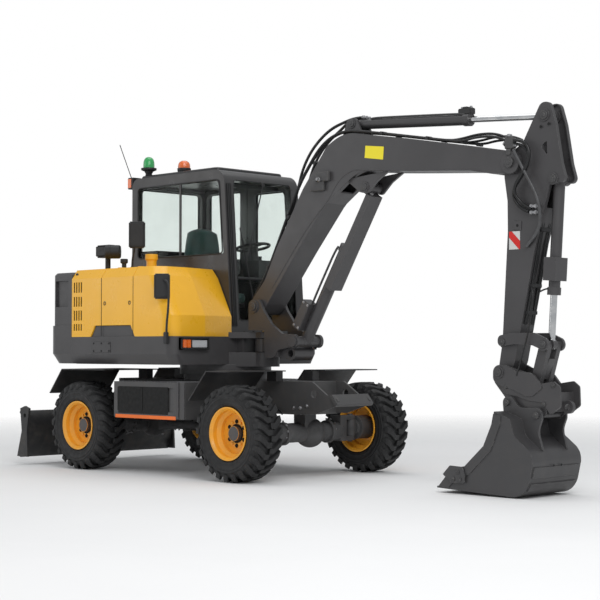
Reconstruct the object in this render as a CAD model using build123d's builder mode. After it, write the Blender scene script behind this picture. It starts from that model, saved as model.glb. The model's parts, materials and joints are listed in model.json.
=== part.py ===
from build123d import *

import os
from math import cos, hypot, radians, sin

# Wheeled excavator with an offset boom: four steered and driven wheels, a
# dozer blade behind, a turning house with a cab on its left, and a boom, arm
# and bucket on a swing post.
#
# Machine axes: +X forward, along the boom; +Y to the left; +Z up.
# Slew axis at X = Y = 0, ground at Z = 0. Lengths in millimetres.
# The finished pieces are moved back by frame_shift, which puts the origin on
# the ground under the middle of the overall length.

frame_shift = 955

# ---------------------------------------------------------------- sizes ----
# Wheels
wheelbase = 2100
wheel_track = 1612
tyre_diameter = 831
tyre_width = 305
rim_diameter = 419
rim_flange_diameter = 458
rim_width = 270
bead_width = 236
lug_count = 22
lug_height = 27
shoulder_half = 118
shoulder_scale = 0.915
rim_wall = 9
rim_dish = 118
hub_diameter = 150
hub_cap_diameter = 128
wheel_bolt_circle = 206
wheel_bolt_count = 6
wheel_bolt_radius = 12
running_gap = 0.3
seat_gap = 0.3

# Axles and knuckles
axle_tube_radius = 82
kingpin_track = 1176
kingpin_radius = 24
yoke_gap = 150

# Chassis
chassis_half_width = 210
chassis_plate = 20
chassis_low = 560
chassis_top = 850
chassis_rear = -1340
fender_top = 948
fender_plate = 10
fender_outer = 955
fender_inner = 250
box_outer = 930
box_front = 495
box_rear = -505
box_low = 515
box_top = 840
slew_ring_radius = 430
front_eye = (1366, 745)
front_eye_radius = 34

# House
house_half_width = 930
house_low = 995
deck_top = 1250
house_front = 320
house_rear = -1695
skirt_crease = 1090
skirt_slope = 60
skirt_wall = 30
counterweight_front = -1160
counterweight_ledge = 1360
engine_front = -1045
hood_top = 1888
hood_crease = 1440
hood_shoulder = 1800
hood_shoulder_slope = 62
hood_front_right = 300
hood_front_cab = 145
hood_lean = 235
hood_wall = 26
hood_rear = -1156
post_inner = 650
post_top = 1868
post_recess_x = (-1440, -1234)
post_recess_z = (1540, 1790)
post_recess_depth = 42
lid_x = -1590
hood_gap = 6
hood_seam_rear = -702
hood_seam_front = -233
hood_hinge_y = -770
vent_rows = ((1310, 1372), (1406, 1500), (1538, 1630), (1670, 1768))
vent_front = -1000
vent_pitch = 36
vent_width = 20
vent_count = 4

# Cab
cab_right = -50
cab_left = 930
cab_wall = 55
cab_rear = -1340
cab_front_low = 132
cab_front_top = 20
cab_shelf_x = -1000
cab_shelf_z = 1905
cab_top = 2840
roof_rise = 32
roof_top = cab_top + roof_rise
glass = 6
glass_inset = 14
door_gap = 8

# Swing post and working gear (pins are X, Z in the boom's plane, Y = 0)
swing_axis_x = 560
swing_pin_radius = 45
boom_foot = (560, 1522)
boom_cylinder_base = (1060, 1202)
boom_cylinder_eye = (1870, 2520)
arm_cylinder_base = (1690, 3086)
arm_pivot = (3430, 2592)
arm_apex = (3725, 2938)
bucket_cylinder_base = (3803, 2440)
rocker_pivot = (3331, 1191)
rocker_pin = (3719, 1171)
bucket_pivot = (3318, 955)
link_pin = (3615, 879)
bucket_pins = ((3420, 722), (3700, 632))

boom_half_width = 125
boom_wall = 12
knee_slot_half = 80
arm_half_width = 85
arm_wall = 10
post_half_width = 165
post_plate = 30
lever_plate = 24
side_gap = 5
pin_radius = 32
rod_pin_gap = 0.05
boom_eye_half = 58
arm_eye_half = 46
bucket_eye_half = 46
blade_eye_half = 42
blade_pin_radius = 22
rocker_pin_radius = 26
fork_half = arm_half_width + side_gap
fork_root = 3285
apex_half_gap = 52
lever_in = arm_half_width + 7
lever_out = lever_in + lever_plate
coupler_in = lever_out + 4
coupler_out = coupler_in + 22
ear_in = coupler_out + 6
link_in = 36
link_out = 86

# Bucket and blade
bucket_half_width = 320
bucket_plate = 14
blade_half_width = 950
blade_x = -1900
blade_low = 78
blade_high = 520
blade_pivot = (-1365, 470)
blade_cylinder_base = (-1405, 705)
blade_cylinder_eye = (blade_x + 88, 400)

axle_z = tyre_diameter / 2
front_x = wheelbase / 2
rear_x = -wheelbase / 2
wheel_y = wheel_track / 2


# -------------------------------------------------------------- helpers ----
def block(x0, x1, y0, y1, z0, z1, mode=Mode.ADD):
    """A square block between two corners."""
    with Locations(((x0 + x1) / 2, (y0 + y1) / 2, (z0 + z1) / 2)):
        Box(x1 - x0, y1 - y0, z1 - z0, mode=mode)


def outline(corners):
    """A closed outline through corners given as (across, up, corner radius)."""
    points = [(across, up) for across, up, _ in corners]
    radii = [radius for _, _, radius in corners]
    with BuildLine() as path:
        FilletPolyline(*points, radius=radii, close=True)
    return path.line


def plate(plane, corners, thickness, mode=Mode.ADD):
    """A flat plate: an outline drawn on a plane and made thick along its normal."""
    with BuildSketch(plane) as shape:
        with BuildLine():
            add(outline(corners))
        make_face()
    extrude(shape.sketch, amount=thickness, mode=mode)


def side_plate(corners, y0, y1, mode=Mode.ADD):
    """A plate seen from the side, (X, Z, radius), between two Y values."""
    plate(Plane.XZ.offset(-y1), corners, y1 - y0, mode)


def floor_plate(corners, z0, z1, mode=Mode.ADD):
    """A plate seen from above, (X, Y, radius), between two heights."""
    plate(Plane.XY.offset(z0), corners, z1 - z0, mode)


def front_plate(corners, x0, x1, mode=Mode.ADD):
    """A plate seen from the front, (Y, Z, radius), between two X values."""
    plate(Plane.YZ.offset(x0), corners, x1 - x0, mode)


def bar(start, end, radius, mode=Mode.ADD):
    """A round bar between two points."""
    along = Vector(*end) - Vector(*start)
    with BuildSketch(Plane(origin=start, z_dir=along)) as shape:
        Circle(radius)
    extrude(shape.sketch, amount=along.length, mode=mode)


def cross_bar(pin, radius, y0, y1, mode=Mode.ADD):
    """A round bar across the machine at a pin's X and Z."""
    bar((pin[0], y0, pin[1]), (pin[0], y1, pin[1]), radius, mode)


def both_sides(y0, y1):
    """The same stretch of Y on the right and on the left."""
    return ((-y1, -y0), (y0, y1))


def bosses(pin, radius, y_near, y_far, mode=Mode.ADD):
    """A round boss on each side at a pin, between two distances from the middle."""
    for y0, y1 in both_sides(y_near, y_far):
        cross_bar(pin, radius, y0, y1, mode)


def upright(x, y, radius, z0, z1, mode=Mode.ADD):
    """A round bar standing at X, Y."""
    bar((x, y, z0), (x, y, z1), radius, mode)


pieces = []


def finish(builder, label):
    """Names a finished piece and keeps it for writing."""
    builder.part.label = label
    pieces.append(builder.part)


# --------------------------------------------------------------- wheels ----
def build_rim():
    """Rim with its dish, at the origin, its outer side towards -Y."""
    flange = rim_flange_diameter / 2
    seat = rim_diameter / 2
    half = rim_width / 2
    drop = seat - 28
    hub = hub_diameter / 2
    with BuildPart() as rim:
        with BuildSketch(Plane.XY) as section:
            with BuildLine():
                Polyline(
                    (flange, -half),
                    (flange, -half + 8),
                    (seat, -half + 14),
                    (seat, -half + 60),
                    (drop, -half + 85),
                    (drop, half - 85),
                    (seat, half - 60),
                    (seat, half - 14),
                    (flange, half - 8),
                    (flange, half),
                    (flange - 12, half),
                    (seat - rim_wall, half - 20),
                    (seat - rim_wall, half - 62),
                    (drop - rim_wall, half - 88),
                    (drop - rim_wall, rim_dish - half + 30),
                    (hub + 45, rim_dish - half + 12),
                    (hub + 45, rim_dish - half - 2),
                    (drop - rim_wall, rim_dish - half),
                    (drop - rim_wall, -half + 88),
                    (seat - rim_wall, -half + 62),
                    (seat - rim_wall, -half + 20),
                    (flange - 12, -half),
                    close=True,
                )
            make_face()
        revolve(section.sketch, axis=Axis.Y)
        bar((0, rim_dish - half - 6, 0), (0, rim_dish - half + 14, 0), hub + 50)
        bar((0, rim_dish - half - 46, 0), (0, rim_dish - half - 6, 0), hub_cap_diameter / 2)
        with Locations(Location((0, rim_dish - half - 10, 0), (90, 0, 0))):
            with PolarLocations(wheel_bolt_circle / 2, wheel_bolt_count):
                Cylinder(wheel_bolt_radius, 14)
    return rim.part


def tread_ring(turn, scale):
    """Outline of one row of lugs seen from the side, as a closed face."""
    pitch = 360 / lug_count
    tip = tyre_diameter / 2
    root = tip - lug_height
    corners = []
    for lug in range(lug_count):
        for radius, share in ((root, -0.36), (tip, -0.27), (tip, 0.27), (root, 0.36)):
            angle = radians(-90 + turn + (lug + share) * pitch)
            corners.append((scale * radius * cos(angle), scale * radius * sin(angle)))
    with BuildSketch() as ring:
        with BuildLine():
            Polyline(*corners, close=True)
        make_face()
    return ring.sketch


def build_tyre():
    """Tyre at the origin: a carcass and two staggered rows of lugs."""
    half = tyre_width / 2
    flange = rim_flange_diameter / 2
    bead = bead_width / 2
    crown = tyre_diameter / 2 - lug_height - 10
    with BuildPart() as lugs:
        for side in (-1, 1):
            turn = side * 90 / lug_count
            for start, end, start_scale, end_scale in (
                (0, shoulder_half, 1, 1),
                (shoulder_half, half - 3, 1, shoulder_scale),
            ):
                for y, scale in ((start, start_scale), (end, end_scale)):
                    with BuildSketch(Plane.XZ.offset(-side * y)):
                        add(tread_ring(turn, scale))
                loft(ruled=True)
        bar((0, -half, 0), (0, half, 0), flange + 70, Mode.SUBTRACT)
    with BuildPart() as tyre:
        with BuildSketch(Plane.XY) as section:
            with BuildLine():
                Polyline(
                    (rim_diameter / 2 + 0.2, -bead),
                    (flange + 6, -bead),
                    (flange + 22, -half + 14),
                    (flange + 66, -half),
                    (crown - 45, -half + 2),
                    (crown, -shoulder_half),
                    (crown, shoulder_half),
                    (crown - 45, half - 2),
                    (flange + 66, half),
                    (flange + 22, half - 14),
                    (flange + 6, bead),
                    (rim_diameter / 2 + 0.2, bead),
                    close=True,
                )
            make_face()
        revolve(section.sketch, axis=Axis.Y)
        add(lugs.part)
    return tyre.part


rim_shape = build_rim()
tyre_shape = build_tyre()
wheel_places = (
    # node ending, X, Y, turned so that its outer side faces out
    ("front_left", front_x, wheel_y, 180),
    ("front_right", front_x, -wheel_y, 0),
    ("rear_left", rear_x, wheel_y, 180),
    ("rear_right", rear_x, -wheel_y, 0),
)
for place, x, y, turn in wheel_places:
    for kind, shape in (("rim", rim_shape), ("tyre", tyre_shape)):
        with BuildPart() as wheel_piece:
            with Locations(Location((x, y, axle_z), (0, 0, turn))):
                add(shape)
        finish(wheel_piece, f"{kind}_{place}")

# --------------------------------------------------------- front running ----
kingpin_y = kingpin_track / 2
yoke_half = yoke_gap / 2
ear_height = 40
drop_z = axle_z - 25
steer_x = front_x - 120
steer_z = axle_z + 30
hub_radius = 108
hub_end = wheel_y + rim_width / 2 - rim_dish - 14 - running_gap


def side_block(x0, x1, side, near, far, z0, z1, mode=Mode.ADD):
    """A block on one side, between two distances from the middle."""
    y0, y1 = sorted((side * near, side * far))
    block(x0, x1, y0, y1, z0, z1, mode)


with BuildPart() as front_axle:
    bar((front_x, -420, drop_z), (front_x, 420, drop_z), axle_tube_radius)
    for side in (-1, 1):
        bar((front_x, side * 265, drop_z), (front_x, side * 300, drop_z), axle_tube_radius + 20)
    with Locations((front_x, 60, drop_z)):
        Sphere(135)
    block(front_x - 70, front_x + 70, -70, 70, axle_z, chassis_low)
    for side in (-1, 1):
        for low, high in (
            (axle_z + yoke_half, axle_z + yoke_half + ear_height),
            (axle_z - yoke_half - ear_height, axle_z - yoke_half),
        ):
            side_block(front_x - 45, front_x + 45, side, 440, kingpin_y, low, high)
            upright(front_x, side * kingpin_y, 45, low, high)
        side_block(
            front_x - 60, front_x + 60, side, 400, 480,
            axle_z - yoke_half - ear_height, axle_z + yoke_half + ear_height,
        )
        for z0, z1 in (
            (axle_z + yoke_half - 20, axle_z + yoke_half + ear_height + 12),
            (axle_z - yoke_half - ear_height - 12, axle_z - yoke_half + 20),
        ):
            upright(front_x, side * kingpin_y, kingpin_radius, z0, z1)
        side_block(steer_x - 10, front_x - 40, side, 130, 165, axle_z - 60, steer_z + 30)
    # Steering cylinder across the back of the axle
    bar((steer_x, -220, steer_z), (steer_x, 220, steer_z), 28)
    bar((steer_x, -455, steer_z), (steer_x, 455, steer_z), 13)
finish(front_axle, "front_axle")

knuckle_top = axle_z + yoke_half - 1
knuckle_low = axle_z - yoke_half + 1
knuckle_bore = kingpin_radius + running_gap
for name, side in (("left", 1), ("right", -1)):
    pin_y = side * kingpin_y
    with BuildPart() as knuckle:
        upright(front_x, pin_y, 52, knuckle_low, knuckle_top)
        bar((front_x, side * (kingpin_y + 40), axle_z), (front_x, side * hub_end, axle_z), 66)
        bar((front_x, side * (kingpin_y + 58), axle_z), (front_x, side * hub_end, axle_z), hub_radius)
        # Steering arm towards the cylinder
        side_block(front_x - 130, front_x - 30, side, kingpin_y - 60, kingpin_y - 20,
                   steer_z - 18, steer_z + 18)
        side_block(front_x - 62, front_x, side, kingpin_y - 60, kingpin_y,
                   steer_z - 18, steer_z + 18)
        upright(front_x, pin_y, knuckle_bore, axle_z + yoke_half - 22, knuckle_top, Mode.SUBTRACT)
        upright(front_x, pin_y, knuckle_bore, knuckle_low, axle_z - yoke_half + 22, Mode.SUBTRACT)
    finish(knuckle, f"knuckle_{name}")

# ---------------------------------------------------------- rear running ----
with BuildPart() as rear_axle:
    bar((rear_x, -430, axle_z), (rear_x, 430, axle_z), axle_tube_radius)
    with Locations((rear_x, 0, axle_z)):
        Sphere(138)
    block(rear_x - 30, rear_x + 230, -130, 130, axle_z - 60, chassis_low - 40)
    for side in (-1, 1):
        side_block(rear_x - 80, rear_x + 80, side, 140, 205, axle_z, chassis_low)
        bar((rear_x, side * 420, axle_z), (rear_x, side * hub_end, axle_z), hub_radius)
    # Drive shaft to the front axle
    bar((rear_x + 200, 0, axle_z), (front_x - 138, 60, axle_z - 60), 32)
finish(rear_axle, "rear_axle")

# -------------------------------------------------------------- chassis ----
front_plate_side = (
    (850, chassis_low, 0),
    (1380, chassis_low + 10, 0),
    (1440, 590, 0),
    (1640, 650, 0),
    (1655, 690, 0),
    (1600, 742, 0),
    (1520, 738, 0),
    (1345, chassis_top, 0),
    (850, chassis_top, 0),
)
blade_lug_side = (
    (-1180, 640, 0),
    (-1290, 640, 0),
    (blade_pivot[0] - 45, blade_pivot[1] + 48, 44),
    (blade_pivot[0] - 45, blade_pivot[1] - 45, 44),
    (blade_pivot[0] + 45, blade_pivot[1] - 45, 30),
    (-1180, 560, 0),
)
blade_clevis_side = (
    (chassis_rear + 1, 800, 0),
    (blade_cylinder_base[0] - 10, 775, 30),
    (blade_cylinder_base[0] - 44, blade_cylinder_base[1], 30),
    (blade_cylinder_base[0] - 10, 640, 30),
    (chassis_rear + 1, 600, 0),
)
with BuildPart() as chassis_frame:
    for y0, y1 in both_sides(chassis_half_width - chassis_plate, chassis_half_width):
        block(chassis_rear, 900, y0, y1, chassis_low, chassis_top)
        side_plate(front_plate_side, y0, y1)
    block(chassis_rear, 1250, -chassis_half_width, chassis_half_width, chassis_top - 15, chassis_top)
    block(chassis_rear, 1200, -chassis_half_width, chassis_half_width, chassis_low, chassis_low + 15)
    for x in (chassis_rear, -700, -350, 350, 700, 1230):
        block(x, x + chassis_plate, -chassis_half_width, chassis_half_width, chassis_low, chassis_top)
    # Sloping front plate between the side plates
    with BuildSketch(Plane.XZ.offset(-chassis_half_width - 20)) as bumper:
        with BuildLine():
            Polyline((1600, 745), (1668, 662), (1640, 640), (1575, 722), close=True)
        make_face()
    extrude(bumper.sketch, amount=2 * chassis_half_width + 40)
    cross_bar(front_eye, front_eye_radius, -chassis_half_width - 40, chassis_half_width + 40,
              Mode.SUBTRACT)
    # Cross wings that carry the side boxes
    for x in (-430, 330):
        for y0, y1 in both_sides(chassis_half_width, 560):
            block(x, x + 100, y0, y1, 600, 800)
    for y0, y1 in both_sides(550, box_outer):
        block(box_rear, box_front, y0, y1, box_low, box_top)
        block(box_rear + 12, box_front - 12, y0 + 12, y1 - 12, box_low + 12, box_top - 12,
              Mode.SUBTRACT)
    for side in (-1, 1):
        a, b = sorted((side * (box_outer - 12), side * (box_outer + 1)))
        block(box_rear + 50, box_front - 160, a, b, box_low + 60, box_top - 50, Mode.SUBTRACT)
        a, b = sorted((side * (box_outer - 60), side * (box_outer - 12)))
        block(box_rear + 12, box_front - 12, a, b, box_low + 12, box_top - 12)
    # Slew ring seat
    upright(0, 0, slew_ring_radius - 40, chassis_top, 905)
    upright(0, 0, slew_ring_radius, 905, 945)
    # Lugs for the blade arms and its cylinder
    for y0, y1 in both_sides(266, 286):
        side_plate(blade_lug_side, y0, y1)
    for y0, y1 in both_sides(chassis_half_width - 1, 286):
        block(-1290, -1180, y0, y1, chassis_low, 640)
    for y0, y1 in both_sides(50, 70):
        side_plate(blade_clevis_side, y0, y1)
    bosses(blade_cylinder_base, 34, blade_eye_half + seat_gap, 70)
    bosses(blade_pivot, blade_pin_radius, 222, 286)
finish(chassis_frame, "chassis_frame")

fender_rows = (
    # front edge, rear edge of the top, rear tip X, rear tip Z
    (1060, 788, 558, 690),
    (-620, -1280, -1476, 714),
)
with BuildPart() as fenders:
    for front, back, tip_x, tip_z in fender_rows:
        for y0, y1 in both_sides(fender_inner, fender_outer):
            side_plate(
                (
                    (front, fender_top, 0),
                    (back, fender_top, 0),
                    (tip_x, tip_z, 0),
                    (tip_x + 12, tip_z - 4, 0),
                    (back + 6, fender_top - fender_plate, 0),
                    (front, fender_top - fender_plate, 0),
                ),
                y0,
                y1,
            )
    for x in (900, -900):
        for y0, y1 in both_sides(chassis_half_width - chassis_plate, fender_inner + 20):
            block(x - 60, x + 60, y0, y1, chassis_top, fender_top - fender_plate)
finish(fenders, "fenders")

# ---------------------------------------------------------------- blade ----
with BuildPart() as blade:
    with BuildSketch(Plane.XZ.offset(-blade_half_width)) as moldboard:
        with BuildLine() as board:
            ThreePointArc((blade_x - 70, blade_high), (blade_x + 22, 300), (blade_x - 70, blade_low))
        trace(board.line, line_width=22)
    extrude(moldboard.sketch, amount=2 * blade_half_width)
    for y0, y1 in both_sides(blade_half_width - 22, blade_half_width):
        side_plate(
            (
                (blade_x - 115, blade_low, 0),
                (blade_x + 60, blade_low, 0),
                (blade_x + 45, 330, 0),
                (blade_x + 80, 552, 0),
                (blade_x + 10, 575, 0),
                (blade_x - 68, 550, 0),
                (blade_x - 40, 330, 0),
            ),
            y0,
            y1,
        )
    for y0, y1 in both_sides(40, 58):
        side_plate(
            (
                (blade_x + 8, 330, 0),
                (blade_cylinder_eye[0] + 20, blade_cylinder_eye[1] - 42, 30),
                (blade_cylinder_eye[0] + 40, blade_cylinder_eye[1], 30),
                (blade_cylinder_eye[0] + 20, blade_cylinder_eye[1] + 42, 30),
                (blade_x - 14, 450, 0),
                (blade_x + 4, 390, 0),
            ),
            y0,
            y1,
        )
    for y0, y1 in both_sides(225, 262):
        side_plate(
            (
                (blade_pivot[0] + 42, blade_pivot[1] - 42, 40),
                (blade_pivot[0] + 42, blade_pivot[1] + 42, 40),
                (blade_x + 40, 400, 0),
                (blade_x + 10, 400, 0),
                (blade_x + 10, 230, 0),
                (blade_x + 40, 230, 0),
                (-1500, 360, 0),
            ),
            y0,
            y1,
        )
    bosses(blade_pivot, blade_pin_radius + running_gap, 220, 264, Mode.SUBTRACT)
    cross_bar((blade_x + 11, 480), 22, -blade_half_width - 1, blade_half_width + 1, Mode.SUBTRACT)
finish(blade, "blade")

# ---------------------------------------------------------------- house ----


def inset_corners(corners, amount):
    """A four-cornered upright outline drawn in at its sides and top."""
    (x0, z0, _), (x1, z1, _), (x2, z2, _), (x3, z3, _) = corners
    return (
        (x0 + amount, z0, 0),
        (x1 + amount, z1 - amount, 0),
        (x2 - amount, z2 - amount, 0),
        (x3 - amount, z3, 0),
    )


def sloped_floor(plan, low_plan, z0, z1, z2):
    """A floor whose edge slopes out from z0 to z1 and stands upright to z2."""
    floor_plate(plan, z1, z2)
    ends = []
    for z, corners in ((z0, low_plan), (z1, plan)):
        with BuildSketch(Plane.XY.offset(z)) as end:
            with BuildLine():
                add(outline(corners))
            make_face()
        ends.append(end.sketch)
    loft(sections=ends)


def skirt_plan(slope):
    """The turning house seen from above, its sides drawn in by slope."""
    side = house_half_width - slope
    return (
        (counterweight_front, -side, 0),
        (house_front, -side, 90),
        (house_front, -300, 0),
        (house_front, side, 90),
        (counterweight_front, side, 0),
    )


nose_tip = swing_axis_x + 112
nose_low_plan = (
    (-200, -330, 0),
    (house_front, -250, 0),
    (swing_axis_x - 30, -112, 0),
    (nose_tip, -112, 100),
    (nose_tip, 112, 100),
    (swing_axis_x - 30, 112, 0),
    (house_front, 250, 0),
    (-200, 330, 0),
)
nose_top_plan = (
    (house_front - 10, -250, 0),
    (house_front, -250, 0),
    (swing_axis_x - 30, -112, 0),
    (nose_tip, -112, 100),
    (nose_tip, 112, 100),
    (swing_axis_x - 30, 112, 0),
    (house_front, 250, 0),
    (house_front - 10, 250, 0),
)
hood_notch = ((-870, deck_top - 5, 0), (-800, 1355, 0), (-270, 1355, 0), (-205, deck_top - 5, 0))
notch_gap = 4
notch_depth = 12
bay_floor = house_low + 40
bay_outer = house_half_width - skirt_wall - skirt_slope / 2
with BuildPart() as house_frame:
    sloped_floor(skirt_plan(0), skirt_plan(skirt_slope), house_low, skirt_crease, deck_top)
    block(counterweight_front - 1, house_front - 60, -bay_outer, -350, bay_floor, deck_top + 1,
          Mode.SUBTRACT)
    block(counterweight_front - 1, house_front - 60, 350, bay_outer, bay_floor, deck_top - 20,
          Mode.SUBTRACT)
    block(counterweight_front - 1, house_front - 60, -320, 320, bay_floor, deck_top + 1,
          Mode.SUBTRACT)
    block(counterweight_front - 1, engine_front + 15, -500, 500, bay_floor, deck_top + 1,
          Mode.SUBTRACT)
    floor_plate(nose_low_plan, house_low - 20, house_low + 110)
    floor_plate(nose_top_plan, deck_top - 15, deck_top + 40)
    for y0, y1 in both_sides(120, 160):
        block(-200, swing_axis_x - 150, y0, y1, house_low, deck_top - 1)
    upright(swing_axis_x, 0, swing_pin_radius, house_low - 20, deck_top + 44)
    upright(0, 0, slew_ring_radius, 945.3, house_low)
    # Dark plate in the cut-out of the hood's lower edge
    side_plate(inset_corners(hood_notch, notch_gap), -house_half_width + notch_depth,
               -house_half_width + 2 * notch_depth)
    block(hood_notch[1][0], hood_notch[2][0], -house_half_width + notch_depth, -bay_outer + 10,
          deck_top - 10, deck_top)
finish(house_frame, "house_frame")



def ledge_plan(slope):
    """The counterweight seen from above, drawn in by slope."""
    side = house_half_width - slope
    rear = house_rear + slope
    return (
        (counterweight_front, -side, 0),
        (-1450, -side, 160),
        (rear + 60, -side + 130, 120),
        (rear, -400, 600),
        (rear, 400, 600),
        (rear + 60, side - 130, 120),
        (-1450, side, 160),
        (counterweight_front, side, 0),
        (counterweight_front, 560, 0),
        (-1360, 520, 0),
        (-1360, -520, 0),
        (counterweight_front, -560, 0),
    )


with BuildPart() as counterweight:
    sloped_floor(ledge_plan(0), ledge_plan(skirt_slope), house_low + 2, skirt_crease,
                 counterweight_ledge)
    # Corner posts behind the hood
    for side in (-1, 1):
        floor_plate(
            (
                (hood_rear - 6, side * (house_half_width - 12), 0),
                (-1450, side * (house_half_width - 12), 150),
                (house_rear + 90, side * 790, 110),
                (house_rear + 50, side * (post_inner + 20), 0),
                (lid_x - 12, side * post_inner, 0),
                (hood_rear - 6, side * post_inner, 0),
            ),
            counterweight_ledge,
            post_top,
        )
    chamfer(counterweight.edges().group_by(Axis.Z)[-1], 22)
    # Recess in the outer side of each post
    for side in (-1, 1):
        side_block(*post_recess_x, side, house_half_width - post_recess_depth, house_half_width,
                   *post_recess_z, Mode.SUBTRACT)
finish(counterweight, "counterweight")


def hood_plan(inset, back, shoulder):
    """The hood seen from above, drawn in by inset, its front and right side moved in."""
    right = -house_half_width + inset + shoulder
    left = house_half_width - inset
    middle = cab_right - 10 - inset
    shelf = cab_shelf_x - 12 - inset
    return (
        (lid_x + inset, -post_inner + 8 + inset, 0),
        (hood_rear + inset, -post_inner + 8 + inset, 0),
        (hood_rear + inset, right, 0),
        (hood_front_right - inset - back, right, 120),
        (hood_front_right - 30 - inset - back, -500, 0),
        (hood_front_cab - inset - back, middle, 0),
        (shelf, middle, 0),
        (shelf, left, 0),
        (hood_rear + inset, left, 0),
        (hood_rear + inset, post_inner - 8 - inset, 0),
        (lid_x + inset, post_inner - 8 - inset, 0),
    )


def hood_solid(inset, low, top):
    """The hood's outer form, or its inside when drawn in."""
    with BuildPart() as form:
        floor_plate(hood_plan(inset, 0, 0), low, hood_crease)
        slope = hood_lean / (hood_top - hood_crease)
        shoulder_lean = slope * (hood_shoulder - hood_crease)
        top_lean = slope * (top - hood_crease)
        shoulder_in = hood_shoulder_slope * (top - hood_shoulder) / (hood_top - hood_shoulder)
        sections = (
            (hood_crease, 0, 0),
            (hood_shoulder, shoulder_lean, 0),
            (top, top_lean + shoulder_in / 2, shoulder_in),
        )
        for low_section, high_section in zip(sections, sections[1:]):
            for z, back, shoulder in (low_section, high_section):
                with BuildSketch(Plane.XY.offset(z)):
                    with BuildLine():
                        add(outline(hood_plan(inset, back, shoulder)))
                    make_face()
            loft()
    return form.part


hood_hinge_z = hood_top + 6
hood_hinge_places = (-620, -320)
lid_hinge_z = hood_top - 36
hood_outer = hood_solid(0, deck_top + seat_gap, hood_top)
hood_inner = hood_solid(hood_wall, deck_top - 10, hood_top - hood_wall)
with BuildPart() as hood_form:
    add(hood_outer)
    add(hood_inner, mode=Mode.SUBTRACT)
    # Open behind, where the lid closes it, and above the counterweight
    block(lid_x - 5, lid_x + 60, -post_inner, post_inner, deck_top, hood_top - 40, Mode.SUBTRACT)
    block(lid_x - 5, hood_rear, -post_inner, post_inner, deck_top, counterweight_ledge + 3,
          Mode.SUBTRACT)
    side_plate(hood_notch, -house_half_width - 5, -house_half_width + hood_wall + 5, Mode.SUBTRACT)
with BuildPart() as hood:
    add(hood_form.part)
    # Vent slots near the rear edge
    for z0, z1 in vent_rows:
        for slot in range(vent_count):
            x = vent_front - slot * vent_pitch
            block(x - vent_width, x, -house_half_width - 5, -house_half_width + hood_wall + 5,
                  z0, z1, Mode.SUBTRACT)
    block(hood_seam_rear, hood_seam_front, -house_half_width - 5, hood_hinge_y,
          deck_top, hood_top + 5, Mode.SUBTRACT)
    for x in hood_hinge_places:
        bar((x - 40, hood_hinge_y + 4, hood_hinge_z), (x, hood_hinge_y + 4, hood_hinge_z), 7)
    for side in (-1, 1):
        bar((lid_x - 10, side * 500, lid_hinge_z), (lid_x - 10, side * 540, lid_hinge_z), 8)
        side_block(lid_x - 10, lid_x + 5, side, 500, 540, lid_hinge_z, lid_hinge_z + 8)
finish(hood, "hood")

with BuildPart() as side_door:
    add(hood_form.part)
    block(hood_seam_rear + hood_gap, hood_seam_front - hood_gap, -house_half_width - 5,
          hood_hinge_y - hood_gap, deck_top, hood_top + 5, Mode.INTERSECT)
    for x in hood_hinge_places:
        low_x = x + seat_gap
        bar((low_x, hood_hinge_y + 4, hood_hinge_z), (low_x + 40, hood_hinge_y + 4, hood_hinge_z), 4)
        block(low_x, low_x + 40, hood_hinge_y - 30, hood_hinge_y + 4, hood_top + 1, hood_hinge_z + 4)
        block(low_x, low_x + 40, hood_hinge_y - 30, hood_hinge_y - hood_gap, hood_top - 4,
              hood_hinge_z)
finish(side_door, "side_door")

with BuildPart() as rear_lid:
    block(lid_x, lid_x + 35, -post_inner + 14, post_inner - 14, counterweight_ledge + 8,
          hood_top - 46)
    block(lid_x - 22, lid_x, -90, 90, 1430, 1470)
    for side in (-1, 1):
        bar((lid_x - 10, side * (540 + seat_gap), lid_hinge_z),
            (lid_x - 10, side * 580, lid_hinge_z), 8)
        side_block(lid_x - 10, lid_x + 5, side, 540 + seat_gap, 580, lid_hinge_z - 20,
                   lid_hinge_z - 5)
finish(rear_lid, "rear_lid")

with BuildPart() as engine:
    block(-1345, engine_front, -480, 480, bay_floor, 1780)
finish(engine, "engine")

# ------------------------------------------------------------------ cab ----
cab_floor = deck_top + seat_gap + cab_wall
front_slope = (cab_front_low - cab_front_top) / (cab_top + roof_rise - deck_top)


def cab_front_at(z):
    """X of the cab's front face at a height."""
    return cab_front_low - front_slope * (z - deck_top)


cab_side = (
    (cab_shelf_x, deck_top + seat_gap, 0),
    (cab_shelf_x, cab_shelf_z, 0),
    (cab_rear, cab_shelf_z + 15, 30),
    (cab_rear, cab_top, 90),
    (cab_front_at(cab_top), cab_top, 140),
    (cab_front_low, deck_top + seat_gap, 0),
)
window_low = 2030
window_bar_x = -607
window_high = cab_top - 95
front_window = ((60, 1400, 40), (830, 1400, 40), (830, window_high, 60), (60, window_high, 60))
right_window = (
    (cab_rear + 90, window_low, 40),
    (cab_front_at(window_low) - 55, window_low, 30),
    (cab_front_at(window_high) - 80, window_high, 90),
    (cab_rear + 90, window_high, 60),
)
rear_window = ((40, window_low, 40), (840, window_low, 40), (840, window_high, 60),
               (40, window_high, 60))
left_window = ((cab_rear + 90, window_low, 40), (-745, window_low, 40), (-745, window_high, 40),
               (cab_rear + 90, window_high, 60))
door_rear = -645
door_hinge = (door_rear, cab_left + 12)
door_hinge_heights = (1480, 2480)
hinge_radius = 11
hinge_leaf = 45
door_outline = (
    (door_rear, cab_floor, 30),
    (cab_front_at(cab_floor) - 62, cab_floor, 60),
    (cab_front_at(window_high + 20) - 70, window_high + 20, 90),
    (door_rear, window_high + 20, 30),
)


def inset_outline(corners, amount):
    """An outline drawn in by an amount, as a sketch face."""
    with BuildSketch() as shape:
        with BuildLine():
            add(outline(corners))
        make_face()
        if amount:
            offset(amount=-amount)
    return shape.sketch


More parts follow.
